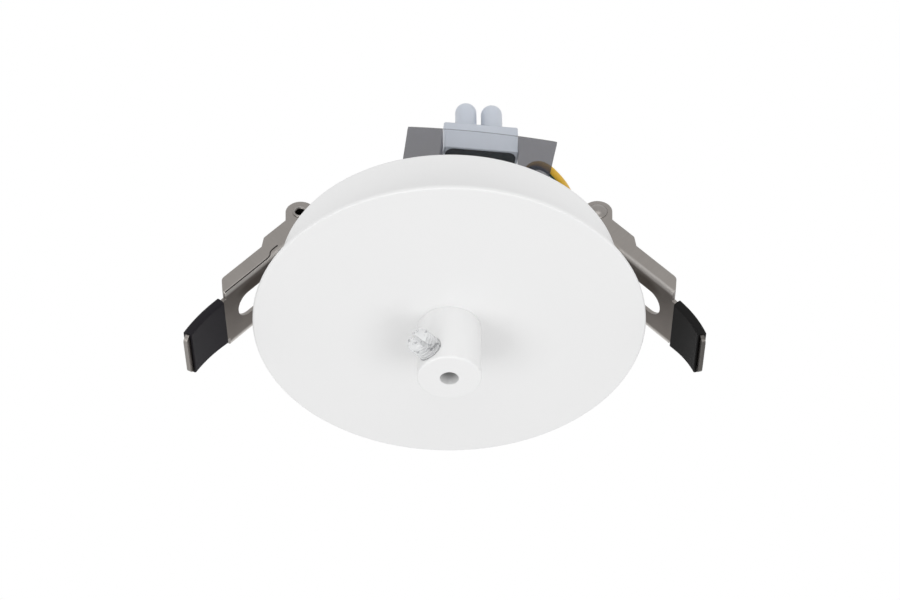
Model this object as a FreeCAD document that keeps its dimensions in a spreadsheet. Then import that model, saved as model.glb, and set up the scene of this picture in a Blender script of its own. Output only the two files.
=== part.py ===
import FreeCAD, Part
import math
import os
from Sketcher import Constraint

Vector = FreeCAD.Vector
Rotation = FreeCAD.Rotation
Placement = FreeCAD.Placement

# Recessed electrical ceiling rose. Millimetres, +Z up into the ceiling.
# The origin is the centre of the flange's upper face, which meets the ceiling.
# The cord boss points down (-Z) and the spring clips stand left (-X) and right (+X).

doc = FreeCAD.newDocument("ceiling_rose")
sheet = doc.addObject("Spreadsheet::Sheet", "sizes")


def add_sizes(heading, values):
    """Write a heading and its named sizes into the next free rows."""
    row = add_sizes.row
    sheet.set("A%d" % row, heading)
    for name, number in values.items():
        row += 1
        sheet.set("A%d" % row, name)
        sheet.set("B%d" % row, str(number))
        sheet.setAlias("B%d" % row, name)
    add_sizes.row = row + 1


add_sizes.row = 1

canopy_sizes = {
    "flange_radius": 50.0,
    "face_plate": 1.3,
    "flange_edge_round": 0.4,
    "flange_lip": 6.1,
    "cup_height": 16.6,
    "cup_wall": 1.2,
}
add_sizes("Canopy", canopy_sizes)
cord_grip_sizes = {
    "boss_radius": 8.1,
    "boss_length": 16.8,
    "boss_edge_round": 0.5,
    "cord_hole_radius": 2.35,
    "shank_radius": 4.9,
    "shank_end": 1.5,
    "shank_gap": 0.15,
    "grip_screw_drop": 12.4,
    "grip_screw_radius": 3.25,
    "grip_screw_length": 10.4,
    "grip_screw_gap": 0.05,
    "grip_screw_open": 0.3,
    "grip_screw_angle": 39.0,
    "grip_slot_width": 1.0,
    "grip_slot_depth": 1.6,
}
add_sizes("Cord grip", cord_grip_sizes)
shank_washer_and_nut_sizes = {
    "lock_washer_radius": 8.4,
    "lock_washer_thick": 1.0,
    "lock_nut_flats": 14.0,
    "lock_nut_thick": 3.5,
    "thread_gap": 0.05,
}
add_sizes("Shank washer and nut", shank_washer_and_nut_sizes)
spring_clip_arms_sizes = {
    "pivot_inset": 5.1,
    "pivot_height": 30.5,
    "arm_sheet": 1.0,
    "arm_width": 20.0,
    "arm_ear_radius": 3.8,
    "web_drop": 5.1,
    "web_start": 11.0,
    "web_end": 33.2,
    "side_end": 30.3,
    "neck_start": 4.7,
    "neck_top": 0.8,
    "step_start": 12.9,
    "step_end": 15.6,
    "side_drop": 1.0,
    "side_corner": 2.0,
    "step_corner": 1.0,
    "fold_round": 1.0,
    "relief_end": 14.9,
    "relief_width": 1.0,
    "slot_start": 17.5,
    "slot_end": 29.3,
    "slot_width": 7.8,
    "stop_gap": 0.05,
}
add_sizes("Spring-clip arms", spring_clip_arms_sizes)
arm_tongue_and_sleeve_sizes = {
    "left_tongue_side": 7.4,
    "left_slant_side": 7.1,
    "left_slant": 4.5,
    "right_tongue_side": 8.8,
    "right_slant_side": 6.3,
    "right_slant": 8.5,
    "tongue_corner": 1.8,
    "tongue_bend_start": 36.4,
    "left_bend_radius": 45.0,
    "left_bend_angle": 16.8,
    "right_bend_radius": 24.6,
    "right_bend_angle": 24.8,
    "sleeve_start": 34.6,
    "sleeve_wall": 0.6,
    "sleeve_gap": 0.1,
    "sleeve_short": 1.6,
}
add_sizes("Arm tongue and sleeve", arm_tongue_and_sleeve_sizes)
arm_pivots_sizes = {
    "rivet_radius": 1.55,
    "rivet_hole_radius": 1.22,
    "rivet_head_radius": 2.6,
    "rivet_head_height": 1.2,
    "rivet_flare_radius": 1.95,
    "rivet_flare": 0.35,
    "rivet_floor": 4.0,
    "bracket_hole_gap": 0.05,
    "arm_hole_gap": 0.1,
    "rivet_end_gap": 0.05,
}
add_sizes("Arm pivots", arm_pivots_sizes)
torsion_springs_sizes = {
    "spring_wire_radius": 0.45,
    "spring_coil_radius": 2.3,
    "spring_pitch": 1.1,
    "spring_side_gap": 1.0,
    "spring_foot": 5.2,
    "spring_reach": 16.5,
    "spring_rest_gap": 0.15,
}
add_sizes("Torsion springs", torsion_springs_sizes)
mounting_bracket_sizes = {
    "strap_sheet": 1.5,
    "ear_side_gap": 0.2,
    "leg_behind_pivot": 3.0,
    "bracket_ear_radius": 3.4,
    "bracket_ear_low": 19.0,
    "bracket_ear_shoulder": 27.0,
    "bracket_fold_round": 2.5,
}
add_sizes("Mounting bracket", mounting_bracket_sizes)
terminal_bridge_sizes = {
    "bridge_sheet": 1.2,
    "bridge_width": 15.0,
    "bridge_to_stud": 4.3,
    "bridge_top": 41.6,
    "bridge_foot_gap": 0.1,
    "bridge_fold_round": 1.8,
}
add_sizes("Terminal bridge", terminal_bridge_sizes)
bridge_studs_washers_and_nuts_sizes = {
    "stud_inset": 4.0,
    "stud_radius": 2.0,
    "stud_length": 8.4,
    "stud_gap": 0.15,
    "stud_nut_flats": 7.0,
    "stud_nut_thick": 3.2,
    "stud_washer_radius": 3.6,
    "stud_washer_thick": 0.6,
}
add_sizes("Bridge studs, washers and nuts", bridge_studs_washers_and_nuts_sizes)
insulating_film_sizes = {
    "film_thick": 0.3,
    "film_length": 39.0,
    "film_depth": 43.0,
    "film_x": 6.0,
    "film_y": -5.5,
    "film_turn": 7.5,
    "film_corner": 0.6,
}
add_sizes("Insulating film", insulating_film_sizes)
terminal_block_sizes = {
    "block_x": 6.9,
    "block_y": -7.2,
    "block_turn": 6.5,
    "block_length": 19.6,
    "block_end": 4.8,
    "pole_pitch": 9.6,
    "body_height": 9.2,
    "body_edge_round": 0.6,
    "tower_radius": 2.85,
    "tower_height": 11.6,
    "tower_spacing": 6.9,
    "tower_edge_round": 2.4,
    "tower_hole_radius": 1.75,
    "recess_wall": 0.5,
    "recess_depth": 0.9,
    "recess_corner": 2.2,
    "groove_width": 1.0,
    "groove_depth": 1.2,
    "entry_radius": 1.9,
    "wire_axis_height": 3.8,
}
add_sizes("Terminal block", terminal_block_sizes)
contacts_and_clamp_screws_sizes = {
    "contact_radius": 2.3,
    "contact_hole_radius": 1.5,
    "contact_length": 17.0,
    "contact_gap": 0.05,
    "clamp_screw_radius": 1.4,
    "clamp_screw_length": 5.6,
    "clamp_screw_gap": 0.05,
    "clamp_slot_width": 0.6,
    "clamp_slot_depth": 0.9,
}
add_sizes("Contacts and clamp screws", contacts_and_clamp_screws_sizes)
block_screw_and_nut_sizes = {
    "block_screw_radius": 1.45,
    "block_screw_gap": 0.15,
    "block_head_radius": 2.6,
    "block_head_height": 1.8,
    "block_screw_end": 1.0,
    "block_nut_flats": 5.5,
    "block_nut_thick": 2.4,
}
add_sizes("Block screw and nut", block_screw_and_nut_sizes)
earth_wire_and_its_terminal_sizes = {
    "wire_radius": 1.2,
    "core_radius": 0.85,
    "core_seat_gap": 0.02,
    "core_bare": 7.0,
    "barrel_length": 6.0,
    "barrel_radius": 1.9,
    "barrel_hole_gap": 0.05,
    "insulation_gap": 0.1,
    "wire_straight": 4.0,
    "barrel_lead": 8.6,
    "barrel_start": 5.2,
    "ring_radius": 3.6,
    "ring_thick": 0.8,
}
add_sizes("Earth wire and its terminal", earth_wire_and_its_terminal_sizes)
doc.recompute()


def size(text):
    """The present value of an expression on the sheet, in millimetres or degrees."""
    return float(sheet.evalExpression(text))


def origin_plane(body, role):
    for feature in body.Origin.OriginFeatures:
        if feature.Role == role:
            return feature
    raise ValueError(role)


def new_body(label):
    body = doc.addObject("PartDesign::Body", label)
    body.Label = label
    return body


def new_sketch(body, name, role):
    sketch = body.newObject("Sketcher::SketchObject", name)
    sketch.AttachmentSupport = [(origin_plane(body, role), "")]
    sketch.MapMode = "FlatFace"
    return sketch


def fix_point(sketch, edge, end, x_text, y_text):
    """Tie one point of the sketch to its two expressions."""
    for kind, text, axis in (("DistanceX", x_text, -2), ("DistanceY", y_text, -1)):
        number = size(text)
        if abs(number) < 1e-9:
            sketch.addConstraint(Constraint("PointOnObject", edge, end, axis))
        elif number > 0:
            index = sketch.addConstraint(Constraint(kind, -1, 1, edge, end, number))
            sketch.setExpression("Constraints[%d]" % index, text)
        else:
            index = sketch.addConstraint(Constraint(kind, edge, end, -1, 1, -number))
            sketch.setExpression("Constraints[%d]" % index, "-(%s)" % text)


def arc_between(start, end, radius, side):
    """The short arc from start to end; side is 1 for counter-clockwise, -1 for clockwise."""
    first, last = (start, end) if side > 0 else (end, start)
    middle = (first + last) * 0.5
    chord = last - first
    reach = math.sqrt(max(radius ** 2 - chord.Length ** 2 / 4.0, 0.0))
    left = Vector(-chord.y, chord.x, 0).normalize()
    centre = middle + left * reach
    angles = [math.atan2(point.y - centre.y, point.x - centre.x) for point in (first, last)]
    circle = Part.Circle(centre, Vector(0, 0, 1), radius)
    return Part.ArcOfCircle(circle, angles[0], angles[1])


def add_outline(sketch, corners, arcs=None):
    """A closed outline. arcs maps a corner's number to the radius and side of the arc after it."""
    arcs = arcs or {}
    points = [Vector(size(x), size(y), 0) for x, y in corners]
    first = sketch.GeometryCount
    ends = []
    for index, start in enumerate(points):
        end = points[(index + 1) % len(points)]
        if index in arcs:
            radius, side = arcs[index]
            sketch.addGeometry(arc_between(start, end, size(radius), side), False)
            ends.append((1, 2) if side > 0 else (2, 1))
        else:
            sketch.addGeometry(Part.LineSegment(start, end), False)
            ends.append((1, 2))
    for index in range(len(points)):
        after = (index + 1) % len(points)
        sketch.addConstraint(Constraint("Coincident", first + index, ends[index][1],
                                        first + after, ends[after][0]))
        fix_point(sketch, first + index, ends[index][0], *corners[index])
    for index, (radius, side) in arcs.items():
        number = sketch.addConstraint(Constraint("Radius", first + index, size(radius)))
        sketch.setExpression("Constraints[%d]" % number, radius)


def add_rectangle(sketch, low_x, low_y, high_x, high_y):
    add_outline(sketch, [(low_x, low_y), (high_x, low_y), (high_x, high_y), (low_x, high_y)])


def add_circle(sketch, x_text, y_text, radius):
    centre = Vector(size(x_text), size(y_text), 0)
    edge = sketch.addGeometry(Part.Circle(centre, Vector(0, 0, 1), size(radius)), False)
    fix_point(sketch, edge, 3, x_text, y_text)
    index = sketch.addConstraint(Constraint("Radius", edge, size(radius)))
    sketch.setExpression("Constraints[%d]" % index, radius)


def add_obround(sketch, low, high, half):
    """A slot along the sketch's first axis, with full round ends."""
    inset = "(%s)" % half
    add_outline(
        sketch,
        [("%s + %s" % (low, inset), "-%s" % inset), ("%s - %s" % (high, inset), "-%s" % inset),
         (high, "0"),
         ("%s - %s" % (high, inset), inset), ("%s + %s" % (low, inset), inset), (low, "0")],
        {1: (inset, 1), 2: (inset, 1), 4: (inset, 1), 5: (inset, 1)})


def pad(body, sketch, length, side="One side", reverse=False):
    feature = body.newObject("PartDesign::Pad", sketch.Name + "_pad")
    feature.Profile = sketch
    feature.SideType = side
    feature.Reversed = reverse
    feature.setExpression("Length", length)
    body.Tip = feature
    doc.recompute()
    return feature


def cut(body, sketch, length=None, side="Symmetric", reverse=False):
    """Pocket by length, or through everything; it has to take material away."""
    before = body.Shape.Volume
    feature = body.newObject("PartDesign::Pocket", sketch.Name + "_cut")
    feature.Profile = sketch
    feature.SideType = side
    feature.Reversed = reverse
    if length is None:
        feature.Type = "ThroughAll"
    else:
        feature.setExpression("Length", length)
    body.Tip = feature
    doc.recompute()
    if not body.Shape.Volume < before - 1e-6:
        raise ValueError("nothing was cut by " + feature.Name)
    return feature


def turn(body, sketch, axis):
    feature = body.newObject("PartDesign::Revolution", sketch.Name + "_turn")
    feature.Profile = sketch
    feature.ReferenceAxis = (sketch, [axis])
    feature.Angle = 360.0
    body.Tip = feature
    doc.recompute()
    return feature


def round_edges(body, name, radius, chosen):
    """Fillet the edges of the body that chosen(edge) picks."""
    base = body.Tip
    names = ["Edge%d" % (index + 1) for index, edge in enumerate(base.Shape.Edges) if chosen(edge)]
    if not names:
        raise ValueError("no edge for " + name)
    feature = body.newObject("PartDesign::Fillet", name)
    feature.Base = (base, names)
    feature.setExpression("Radius", radius)
    body.Tip = feature
    doc.recompute()
    return feature


def near(first, second, limit=0.02):
    return abs(first - second) < limit


def along(edge, direction):
    """True for a straight edge parallel to the direction."""
    if not isinstance(edge.Curve, (Part.Line, Part.LineSegment)):
        return False
    line = edge.Vertexes[-1].Point - edge.Vertexes[0].Point
    return line.cross(direction).Length < 1e-4 * max(line.Length, 1e-6)



# Canopy: flange and cup in one piece, open at the top, with the hole for the shank.

CUP = "(sizes.flange_radius - sizes.flange_lip)"
HOLE = "(sizes.shank_radius + sizes.shank_gap)"
canopy = new_body("canopy")
section = new_sketch(canopy, "canopy_section", "XZ_Plane")
add_outline(section, [
    (HOLE, "-sizes.face_plate"),
    ("sizes.flange_radius", "-sizes.face_plate"),
    ("sizes.flange_radius", "0"),
    (CUP, "0"),
    (CUP, "sizes.cup_height"),
    (CUP + " - sizes.cup_wall", "sizes.cup_height"),
    (CUP + " - sizes.cup_wall", "0"),
    (HOLE, "0"),
])
turn(canopy, section, "V_Axis")
round_edges(canopy, "canopy_rim_round", "sizes.flange_edge_round",
            lambda edge: isinstance(edge.Curve, Part.Circle)
            and near(edge.Curve.Radius, size("sizes.flange_radius")))

# Cord grip: boss, hollow shank and the side hole of the grip screw.

SHANK_TOP = ("(sizes.strap_sheet + sizes.lock_washer_thick + sizes.lock_nut_thick"
             " + sizes.shank_end)")
BOSS_END = "(sizes.face_plate + sizes.boss_length)"
SCREW_LEVEL = "(sizes.face_plate + sizes.grip_screw_drop)"
cord_grip = new_body("cord_grip")
section = new_sketch(cord_grip, "grip_section", "XZ_Plane")
add_outline(section, [
    ("sizes.cord_hole_radius", "-" + BOSS_END),
    ("sizes.boss_radius", "-" + BOSS_END),
    ("sizes.boss_radius", "-sizes.face_plate"),
    ("sizes.shank_radius", "-sizes.face_plate"),
    ("sizes.shank_radius", SHANK_TOP),
    ("sizes.cord_hole_radius", SHANK_TOP),
])
turn(cord_grip, section, "V_Axis")
round_edges(cord_grip, "boss_end_round", "sizes.boss_edge_round",
            lambda edge: isinstance(edge.Curve, Part.Circle)
            and near(edge.Curve.Radius, size("sizes.boss_radius"))
            and near(edge.Curve.Center.z, -size(BOSS_END)))
side_hole = new_sketch(cord_grip, "grip_side_hole", "XZ_Plane")
add_circle(side_hole, "0", "-" + SCREW_LEVEL, "sizes.grip_screw_radius + sizes.grip_screw_gap")
cut(cord_grip, side_hole, side="One side", reverse=True)
cord_grip.Placement = Placement(Vector(), Rotation(Vector(0, 0, 1), -size("sizes.grip_screw_angle")))

# Grip screw: slotted, backed out so that the cord hole is free.

grip_screw = new_body("grip_screw")
profile = new_sketch(grip_screw, "grip_screw_round", "XY_Plane")
add_circle(profile, "0", "0", "sizes.grip_screw_radius")
pad(grip_screw, profile, "sizes.grip_screw_length")
slot = new_sketch(grip_screw, "grip_screw_slot", "XZ_Plane")
add_rectangle(slot, "-sizes.grip_slot_width / 2", "sizes.grip_screw_length - sizes.grip_slot_depth",
              "sizes.grip_slot_width / 2", "sizes.grip_screw_length + 1")
cut(grip_screw, slot)
turn_angle = math.radians(size("sizes.grip_screw_angle"))
screw_out = Vector(-math.sin(turn_angle), -math.cos(turn_angle), 0)
grip_screw.Placement = Placement(
    screw_out * size("sizes.cord_hole_radius + sizes.grip_screw_open")
    + Vector(0, 0, -size(SCREW_LEVEL)),
    Rotation(Vector(0, 0, 1), screw_out))


# Plain washers and hexagon nuts, seated on a height and centred on a stud or shank.

def ring_piece(label, outer, inner, thick, place, sides=0):
    """A washer, or a nut when it has sides and outer is its width across flats."""
    if sides:
        blank = doc.addObject("Part::Prism", label + "_blank")
        blank.Polygon = sides
        blank.setExpression("Circumradius", "(%s) / 2 / cos(180 / %d)" % (outer, sides))
    else:
        blank = doc.addObject("Part::Cylinder", label + "_blank")
        blank.setExpression("Radius", outer)
    blank.setExpression("Height", thick)
    hole = doc.addObject("Part::Cylinder", label + "_hole")
    hole.setExpression("Radius", inner)
    hole.setExpression("Height", thick)
    piece = doc.addObject("Part::Cut", label)
    piece.Base = blank
    piece.Tool = hole
    piece.Label = label
    piece.Placement = place
    return piece


def at_height(x, height, angle=0.0):
    return Placement(Vector(x, 0, height), Rotation(Vector(0, 0, 1), angle))


THREAD_GAP = "sizes.thread_gap"
strap_top = size("sizes.strap_sheet")
lock_washer = ring_piece("lock_washer", "sizes.lock_washer_radius", HOLE,
                         "sizes.lock_washer_thick", at_height(0, strap_top))
lock_nut = ring_piece("lock_nut", "sizes.lock_nut_flats", "sizes.shank_radius + " + THREAD_GAP,
                      "sizes.lock_nut_thick",
                      at_height(0, strap_top + size("sizes.lock_washer_thick")), 6)

# Mounting bracket: one folded strip, with ears at both ends for the rivets.

PIVOT_OUT = "(%s - sizes.pivot_inset)" % CUP
LEG_OUT = "(%s - sizes.leg_behind_pivot)" % PIVOT_OUT
LEG_IN = "(%s - sizes.strap_sheet)" % LEG_OUT
STUD_OUT = "(%s - sizes.stud_inset)" % LEG_IN
EAR_OUT = "(%s + sizes.bracket_ear_radius)" % PIVOT_OUT
EAR_TOP = "(sizes.pivot_height + sizes.bracket_ear_radius)"
BRACKET_WIDTH = "(sizes.arm_width - 2 * sizes.arm_sheet - 2 * sizes.ear_side_gap)"
mounting_bracket = new_body("mounting_bracket")
side = new_sketch(mounting_bracket, "bracket_side", "XZ_Plane")
add_outline(side, [
    ("-" + LEG_OUT, "0"),
    (LEG_OUT, "0"),
    (LEG_OUT, "sizes.bracket_ear_low"),
    (EAR_OUT, "sizes.bracket_ear_shoulder"),
    (EAR_OUT, "sizes.pivot_height"),
    (PIVOT_OUT, EAR_TOP),
    (LEG_IN, EAR_TOP),
    (LEG_IN, "sizes.strap_sheet"),
    ("-" + LEG_IN, "sizes.strap_sheet"),
    ("-" + LEG_IN, EAR_TOP),
    ("-" + PIVOT_OUT, EAR_TOP),
    ("-" + EAR_OUT, "sizes.pivot_height"),
    ("-" + EAR_OUT, "sizes.bracket_ear_shoulder"),
    ("-" + LEG_OUT, "sizes.bracket_ear_low"),
], {4: ("sizes.bracket_ear_radius", 1), 10: ("sizes.bracket_ear_radius", 1)})
pad(mounting_bracket, side, BRACKET_WIDTH, "Symmetric")
gap = new_sketch(mounting_bracket, "bracket_ear_gap", "XZ_Plane")
add_rectangle(gap, LEG_OUT, "sizes.bracket_ear_low - 1", EAR_OUT + " + 1", EAR_TOP + " + 1")
add_rectangle(gap, "-%s - 1" % EAR_OUT, "sizes.bracket_ear_low - 1", "-" + LEG_OUT, EAR_TOP + " + 1")
cut(mounting_bracket, gap, BRACKET_WIDTH + " - 2 * sizes.strap_sheet")
FOOT_REST = ("(sizes.pivot_height + sizes.spring_coil_radius"
             " - sizes.spring_wire_radius - sizes.spring_rest_gap)")
rest = new_sketch(mounting_bracket, "bracket_spring_rest", "XZ_Plane")
add_rectangle(rest, LEG_IN + " - 1", FOOT_REST, LEG_OUT + " + 1", EAR_TOP + " + 1")
add_rectangle(rest, "-%s - 1" % LEG_OUT, FOOT_REST, "1 - " + LEG_IN, EAR_TOP + " + 1")
cut(mounting_bracket, rest, BRACKET_WIDTH + " - 2 * sizes.strap_sheet")
holes = new_sketch(mounting_bracket, "bracket_floor_holes", "XY_Plane")
add_circle(holes, "0", "0", HOLE)
for sign in ("", "-"):
    add_circle(holes, sign + STUD_OUT, "0", "sizes.stud_radius + sizes.stud_gap")
cut(mounting_bracket, holes)
pins = new_sketch(mounting_bracket, "bracket_rivet_holes", "XZ_Plane")
for sign in ("", "-"):
    add_circle(pins, sign + PIVOT_OUT, "sizes.pivot_height",
               "sizes.rivet_radius + sizes.bracket_hole_gap")
cut(mounting_bracket, pins)
round_edges(mounting_bracket, "bracket_fold_outside", "sizes.bracket_fold_round",
            lambda edge: along(edge, Vector(0, 1, 0))
            and near(abs(edge.CenterOfMass.x), size(LEG_OUT)) and near(edge.CenterOfMass.z, 0))
round_edges(mounting_bracket, "bracket_fold_inside", "sizes.bracket_fold_round - sizes.strap_sheet",
            lambda edge: along(edge, Vector(0, 1, 0))
            and near(abs(edge.CenterOfMass.x), size(LEG_IN))
            and near(edge.CenterOfMass.z, size("sizes.strap_sheet")))

# Terminal bridge: one folded strip on the bracket, with feet turned outwards.

BRIDGE_OUT = "(%s - sizes.bridge_to_stud)" % STUD_OUT
BRIDGE_IN = "(%s - sizes.bridge_sheet)" % BRIDGE_OUT
FOOT_END = "(%s - sizes.bracket_fold_round + sizes.strap_sheet - sizes.bridge_foot_gap)" % LEG_IN
FOOT_TOP = "(sizes.strap_sheet + sizes.bridge_sheet)"
BRIDGE_UNDER = "(sizes.bridge_top - sizes.bridge_sheet)"
SCREW_X = "(sizes.block_x - sin(sizes.block_turn) * sizes.pole_pitch / 2)"
SCREW_Y = "(sizes.block_y + cos(sizes.block_turn) * sizes.pole_pitch / 2)"
terminal_bridge = new_body("terminal_bridge")
side = new_sketch(terminal_bridge, "bridge_side", "XZ_Plane")
add_outline(side, [
    ("-" + FOOT_END, "sizes.strap_sheet"),
    ("-" + BRIDGE_IN, "sizes.strap_sheet"),
    ("-" + BRIDGE_IN, BRIDGE_UNDER),
    (BRIDGE_IN, BRIDGE_UNDER),
    (BRIDGE_IN, "sizes.strap_sheet"),
    (FOOT_END, "sizes.strap_sheet"),
    (FOOT_END, FOOT_TOP),
    (BRIDGE_OUT, FOOT_TOP),
    (BRIDGE_OUT, "sizes.bridge_top"),
    ("-" + BRIDGE_OUT, "sizes.bridge_top"),
    ("-" + BRIDGE_OUT, FOOT_TOP),
    ("-" + FOOT_END, FOOT_TOP),
])
pad(terminal_bridge, side, "sizes.bridge_width", "Symmetric")
holes = new_sketch(terminal_bridge, "bridge_holes", "XY_Plane")
for sign in ("", "-"):
    add_circle(holes, sign + STUD_OUT, "0", "sizes.stud_radius + sizes.stud_gap")
add_circle(holes, SCREW_X, SCREW_Y, "sizes.block_screw_radius + sizes.block_screw_gap")
cut(terminal_bridge, holes)


def bridge_fold(x, z):
    return lambda edge: (along(edge, Vector(0, 1, 0))
                         and near(abs(edge.CenterOfMass.x), size(x))
                         and near(edge.CenterOfMass.z, size(z)))


INNER_FOLD = "sizes.bridge_fold_round - sizes.bridge_sheet"
round_edges(terminal_bridge, "bridge_top_outside", "sizes.bridge_fold_round",
            bridge_fold(BRIDGE_OUT, "sizes.bridge_top"))
round_edges(terminal_bridge, "bridge_top_inside", INNER_FOLD, bridge_fold(BRIDGE_IN, BRIDGE_UNDER))
round_edges(terminal_bridge, "bridge_foot_outside", "sizes.bridge_fold_round",
            bridge_fold(BRIDGE_IN, "sizes.strap_sheet"))
round_edges(terminal_bridge, "bridge_foot_inside", INNER_FOLD, bridge_fold(BRIDGE_OUT, FOOT_TOP))

# Studs welded to the canopy's floor, with the washers and nuts that hold the bridge down.

foot_top = size(FOOT_TOP)
for name, sign, lift in (("left", -1, 0.0), ("right", 1, size("sizes.ring_thick"))):
    stud = doc.addObject("Part::Cylinder", "bridge_stud_" + name)
    stud.Label = "bridge_stud_" + name
    stud.setExpression("Radius", "sizes.stud_radius")
    stud.setExpression("Height", "sizes.stud_length")
    stud.Placement = at_height(sign * size(STUD_OUT), 0)
    ring_piece("stud_washer_" + name, "sizes.stud_washer_radius", "sizes.stud_radius + sizes.stud_gap",
               "sizes.stud_washer_thick", at_height(sign * size(STUD_OUT), foot_top + lift))
    ring_piece("stud_nut_" + name, "sizes.stud_nut_flats", "sizes.stud_radius + " + THREAD_GAP,
               "sizes.stud_nut_thick",
               at_height(sign * size(STUD_OUT),
                         foot_top + lift + size("sizes.stud_washer_thick"), 30), 6)

# Spring-clip arms. Each is drawn about its pivot, with the arm along +X and outwards up.
# At rest the web lies on the cup's rim, so the rest angle follows from both.

rim_out = size("sizes.pivot_inset")
rim_down = size("sizes.pivot_height - sizes.cup_height")
rim_reach = math.hypot(rim_out, rim_down)
rest_angle = math.degrees(math.atan2(rim_down, rim_out)
                          - math.asin(size("sizes.web_drop + sizes.stop_gap") / rim_reach))
SIDES = {"left": Rotation(Vector(0, 0, 1), 180), "right": Rotation()}


def arm_place(name):
    lean = Rotation(Vector(0, 1, 0), rest_angle)
    pivot = Vector(size(PIVOT_OUT), 0, size("sizes.pivot_height"))
    return Placement(Vector(), SIDES[name]).multiply(Placement(pivot, lean))


WEB_TOP = "(sizes.arm_sheet - sizes.web_drop)"
EAR = "sizes.arm_ear_radius"
INSIDE = "(sizes.arm_width / 2 - sizes.arm_sheet)"
# The two tongues are bent by hand, the left one more gently, and trimmed by hand on one side, so each has its
# own radius, angle, half width and slant.
BENDS = {"left": ("sizes.left_bend_radius", "sizes.left_bend_angle"),
         "right": ("sizes.right_bend_radius", "sizes.right_bend_angle")}


def add_strip(sketch, start, thick, radius, angle):
    """A strip along the web's middle plane that bends down after the tongue's straight part."""
    level = "sizes.arm_sheet / 2 - sizes.web_drop - %s" % radius
    low = "(%s - (%s) / 2)" % (radius, thick)
    top = "(%s + (%s) / 2)" % (radius, thick)
    bend = "sizes.tongue_bend_start"
    add_outline(sketch, [
        (start, "%s + %s" % (level, low)),
        (bend, "%s + %s" % (level, low)),
        ("%s + %s * sin(%s)" % (bend, low, angle), "%s + %s * cos(%s)" % (level, low, angle)),
        ("%s + %s * sin(%s)" % (bend, top, angle), "%s + %s * cos(%s)" % (level, top, angle)),
        (bend, "%s + %s" % (level, top)),
        (start, "%s + %s" % (level, top)),
    ], {1: (low, -1), 3: (top, 1)})


def trim_tongue(body, name, sketch_name, beyond):
    """Cuts one side of the tongue on a slant, so that it narrows towards its tip."""
    edge = "(sizes.%s_slant_side + %s)" % (name, beyond)
    slope = "tan(sizes.%s_slant)" % name
    far = "(2 * sizes.tongue_bend_start)"
    outside = "(sizes.arm_width / 2 + 1)"
    sketch = new_sketch(body, sketch_name, "XY_Plane")
    add_outline(sketch, [
        ("sizes.web_end", "-%s - (sizes.sleeve_start - sizes.web_end) * %s" % (edge, slope)),
        ("sizes.web_end", "-" + outside),
        (far, "-" + outside),
        (far, "(%s - sizes.sleeve_start) * %s - %s" % (far, slope, edge)),
    ])
    cut(body, sketch)


def make_arm(name):
    arm = new_body("clip_arm_" + name)
    side = new_sketch(arm, "arm_side_" + name, "XZ_Plane")
    add_outline(side, [
        ("0", "-" + EAR),
        ("sizes.web_start", "-sizes.web_drop"),
        ("sizes.web_end", "-sizes.web_drop"),
        ("sizes.web_end", WEB_TOP),
        ("sizes.side_end", "-sizes.side_drop"),
        ("sizes.step_end", "-sizes.side_drop"),
        ("sizes.step_start", "sizes.neck_top"),
        ("sizes.neck_start", "sizes.neck_top"),
        (EAR + " * cos(50)", EAR + " * sin(50)"),
        ("0", EAR),
        ("-" + EAR, "0"),
    ], {8: (EAR, 1), 9: (EAR, 1), 10: (EAR, 1)})
    pad(arm, side, "sizes.arm_width", "Symmetric")
    for label, radius, x, z in (("tip", "sizes.side_corner", "sizes.side_end", "-sizes.side_drop"),
                                ("step", "sizes.step_corner", "sizes.step_start", "sizes.neck_top")):
        round_edges(arm, "arm_%s_%s" % (label, name), radius,
                    lambda edge: along(edge, Vector(0, 1, 0))
                    and near(edge.CenterOfMass.x, size(x)) and near(edge.CenterOfMass.z, size(z)))
    channel = new_sketch(arm, "arm_channel_" + name, "XZ_Plane")
    add_outline(channel, [
        ("-%s - 1" % EAR, "-sizes.web_drop - 1"),
        ("sizes.web_start", "-sizes.web_drop - 1"),
        ("sizes.web_start", WEB_TOP),
        ("sizes.web_end + 1", WEB_TOP),
        ("sizes.web_end + 1", EAR + " + 1"),
        ("-%s - 1" % EAR, EAR + " + 1"),
    ])
    cut(arm, channel, "2 * " + INSIDE)
    round_edges(arm, "arm_fold_" + name, "sizes.fold_round",
                lambda edge: along(edge, Vector(1, 0, 0))
                and near(abs(edge.CenterOfMass.y), size("sizes.arm_width / 2"))
                and near(edge.CenterOfMass.z, -size("sizes.web_drop")))
    tongue = new_sketch(arm, "arm_tongue_" + name, "XZ_Plane")
    add_strip(tongue, "sizes.web_end - 2", "sizes.arm_sheet", *BENDS[name])
    pad(arm, tongue, "2 * sizes.%s_tongue_side" % name, "Symmetric")
    trim_tongue(arm, name, "arm_tongue_slant_" + name, "0")
    round_edges(arm, "arm_tongue_tip_" + name, "sizes.tongue_corner",
                lambda edge: near(edge.Length, size("sizes.arm_sheet"))
                and edge.CenterOfMass.x > size("sizes.tongue_bend_start"))
    openings = new_sketch(arm, "arm_slot_" + name, "XY_Plane")
    add_obround(openings, "sizes.slot_start", "sizes.slot_end", "sizes.slot_width / 2")
    cut(arm, openings)
    relief = new_sketch(arm, "arm_relief_" + name, "XY_Plane")
    add_rectangle(relief, "sizes.web_start - 1", INSIDE + " - sizes.relief_width", "sizes.relief_end", INSIDE)
    add_rectangle(relief, "sizes.web_start - 1", "-" + INSIDE, "sizes.relief_end",
                  "sizes.relief_width - " + INSIDE)
    cut(arm, relief)
    pin = new_sketch(arm, "arm_pivot_" + name, "XZ_Plane")
    add_circle(pin, "0", "0", "sizes.rivet_radius + sizes.arm_hole_gap")
    cut(arm, pin)
    arm.Placement = arm_place(name)


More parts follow.
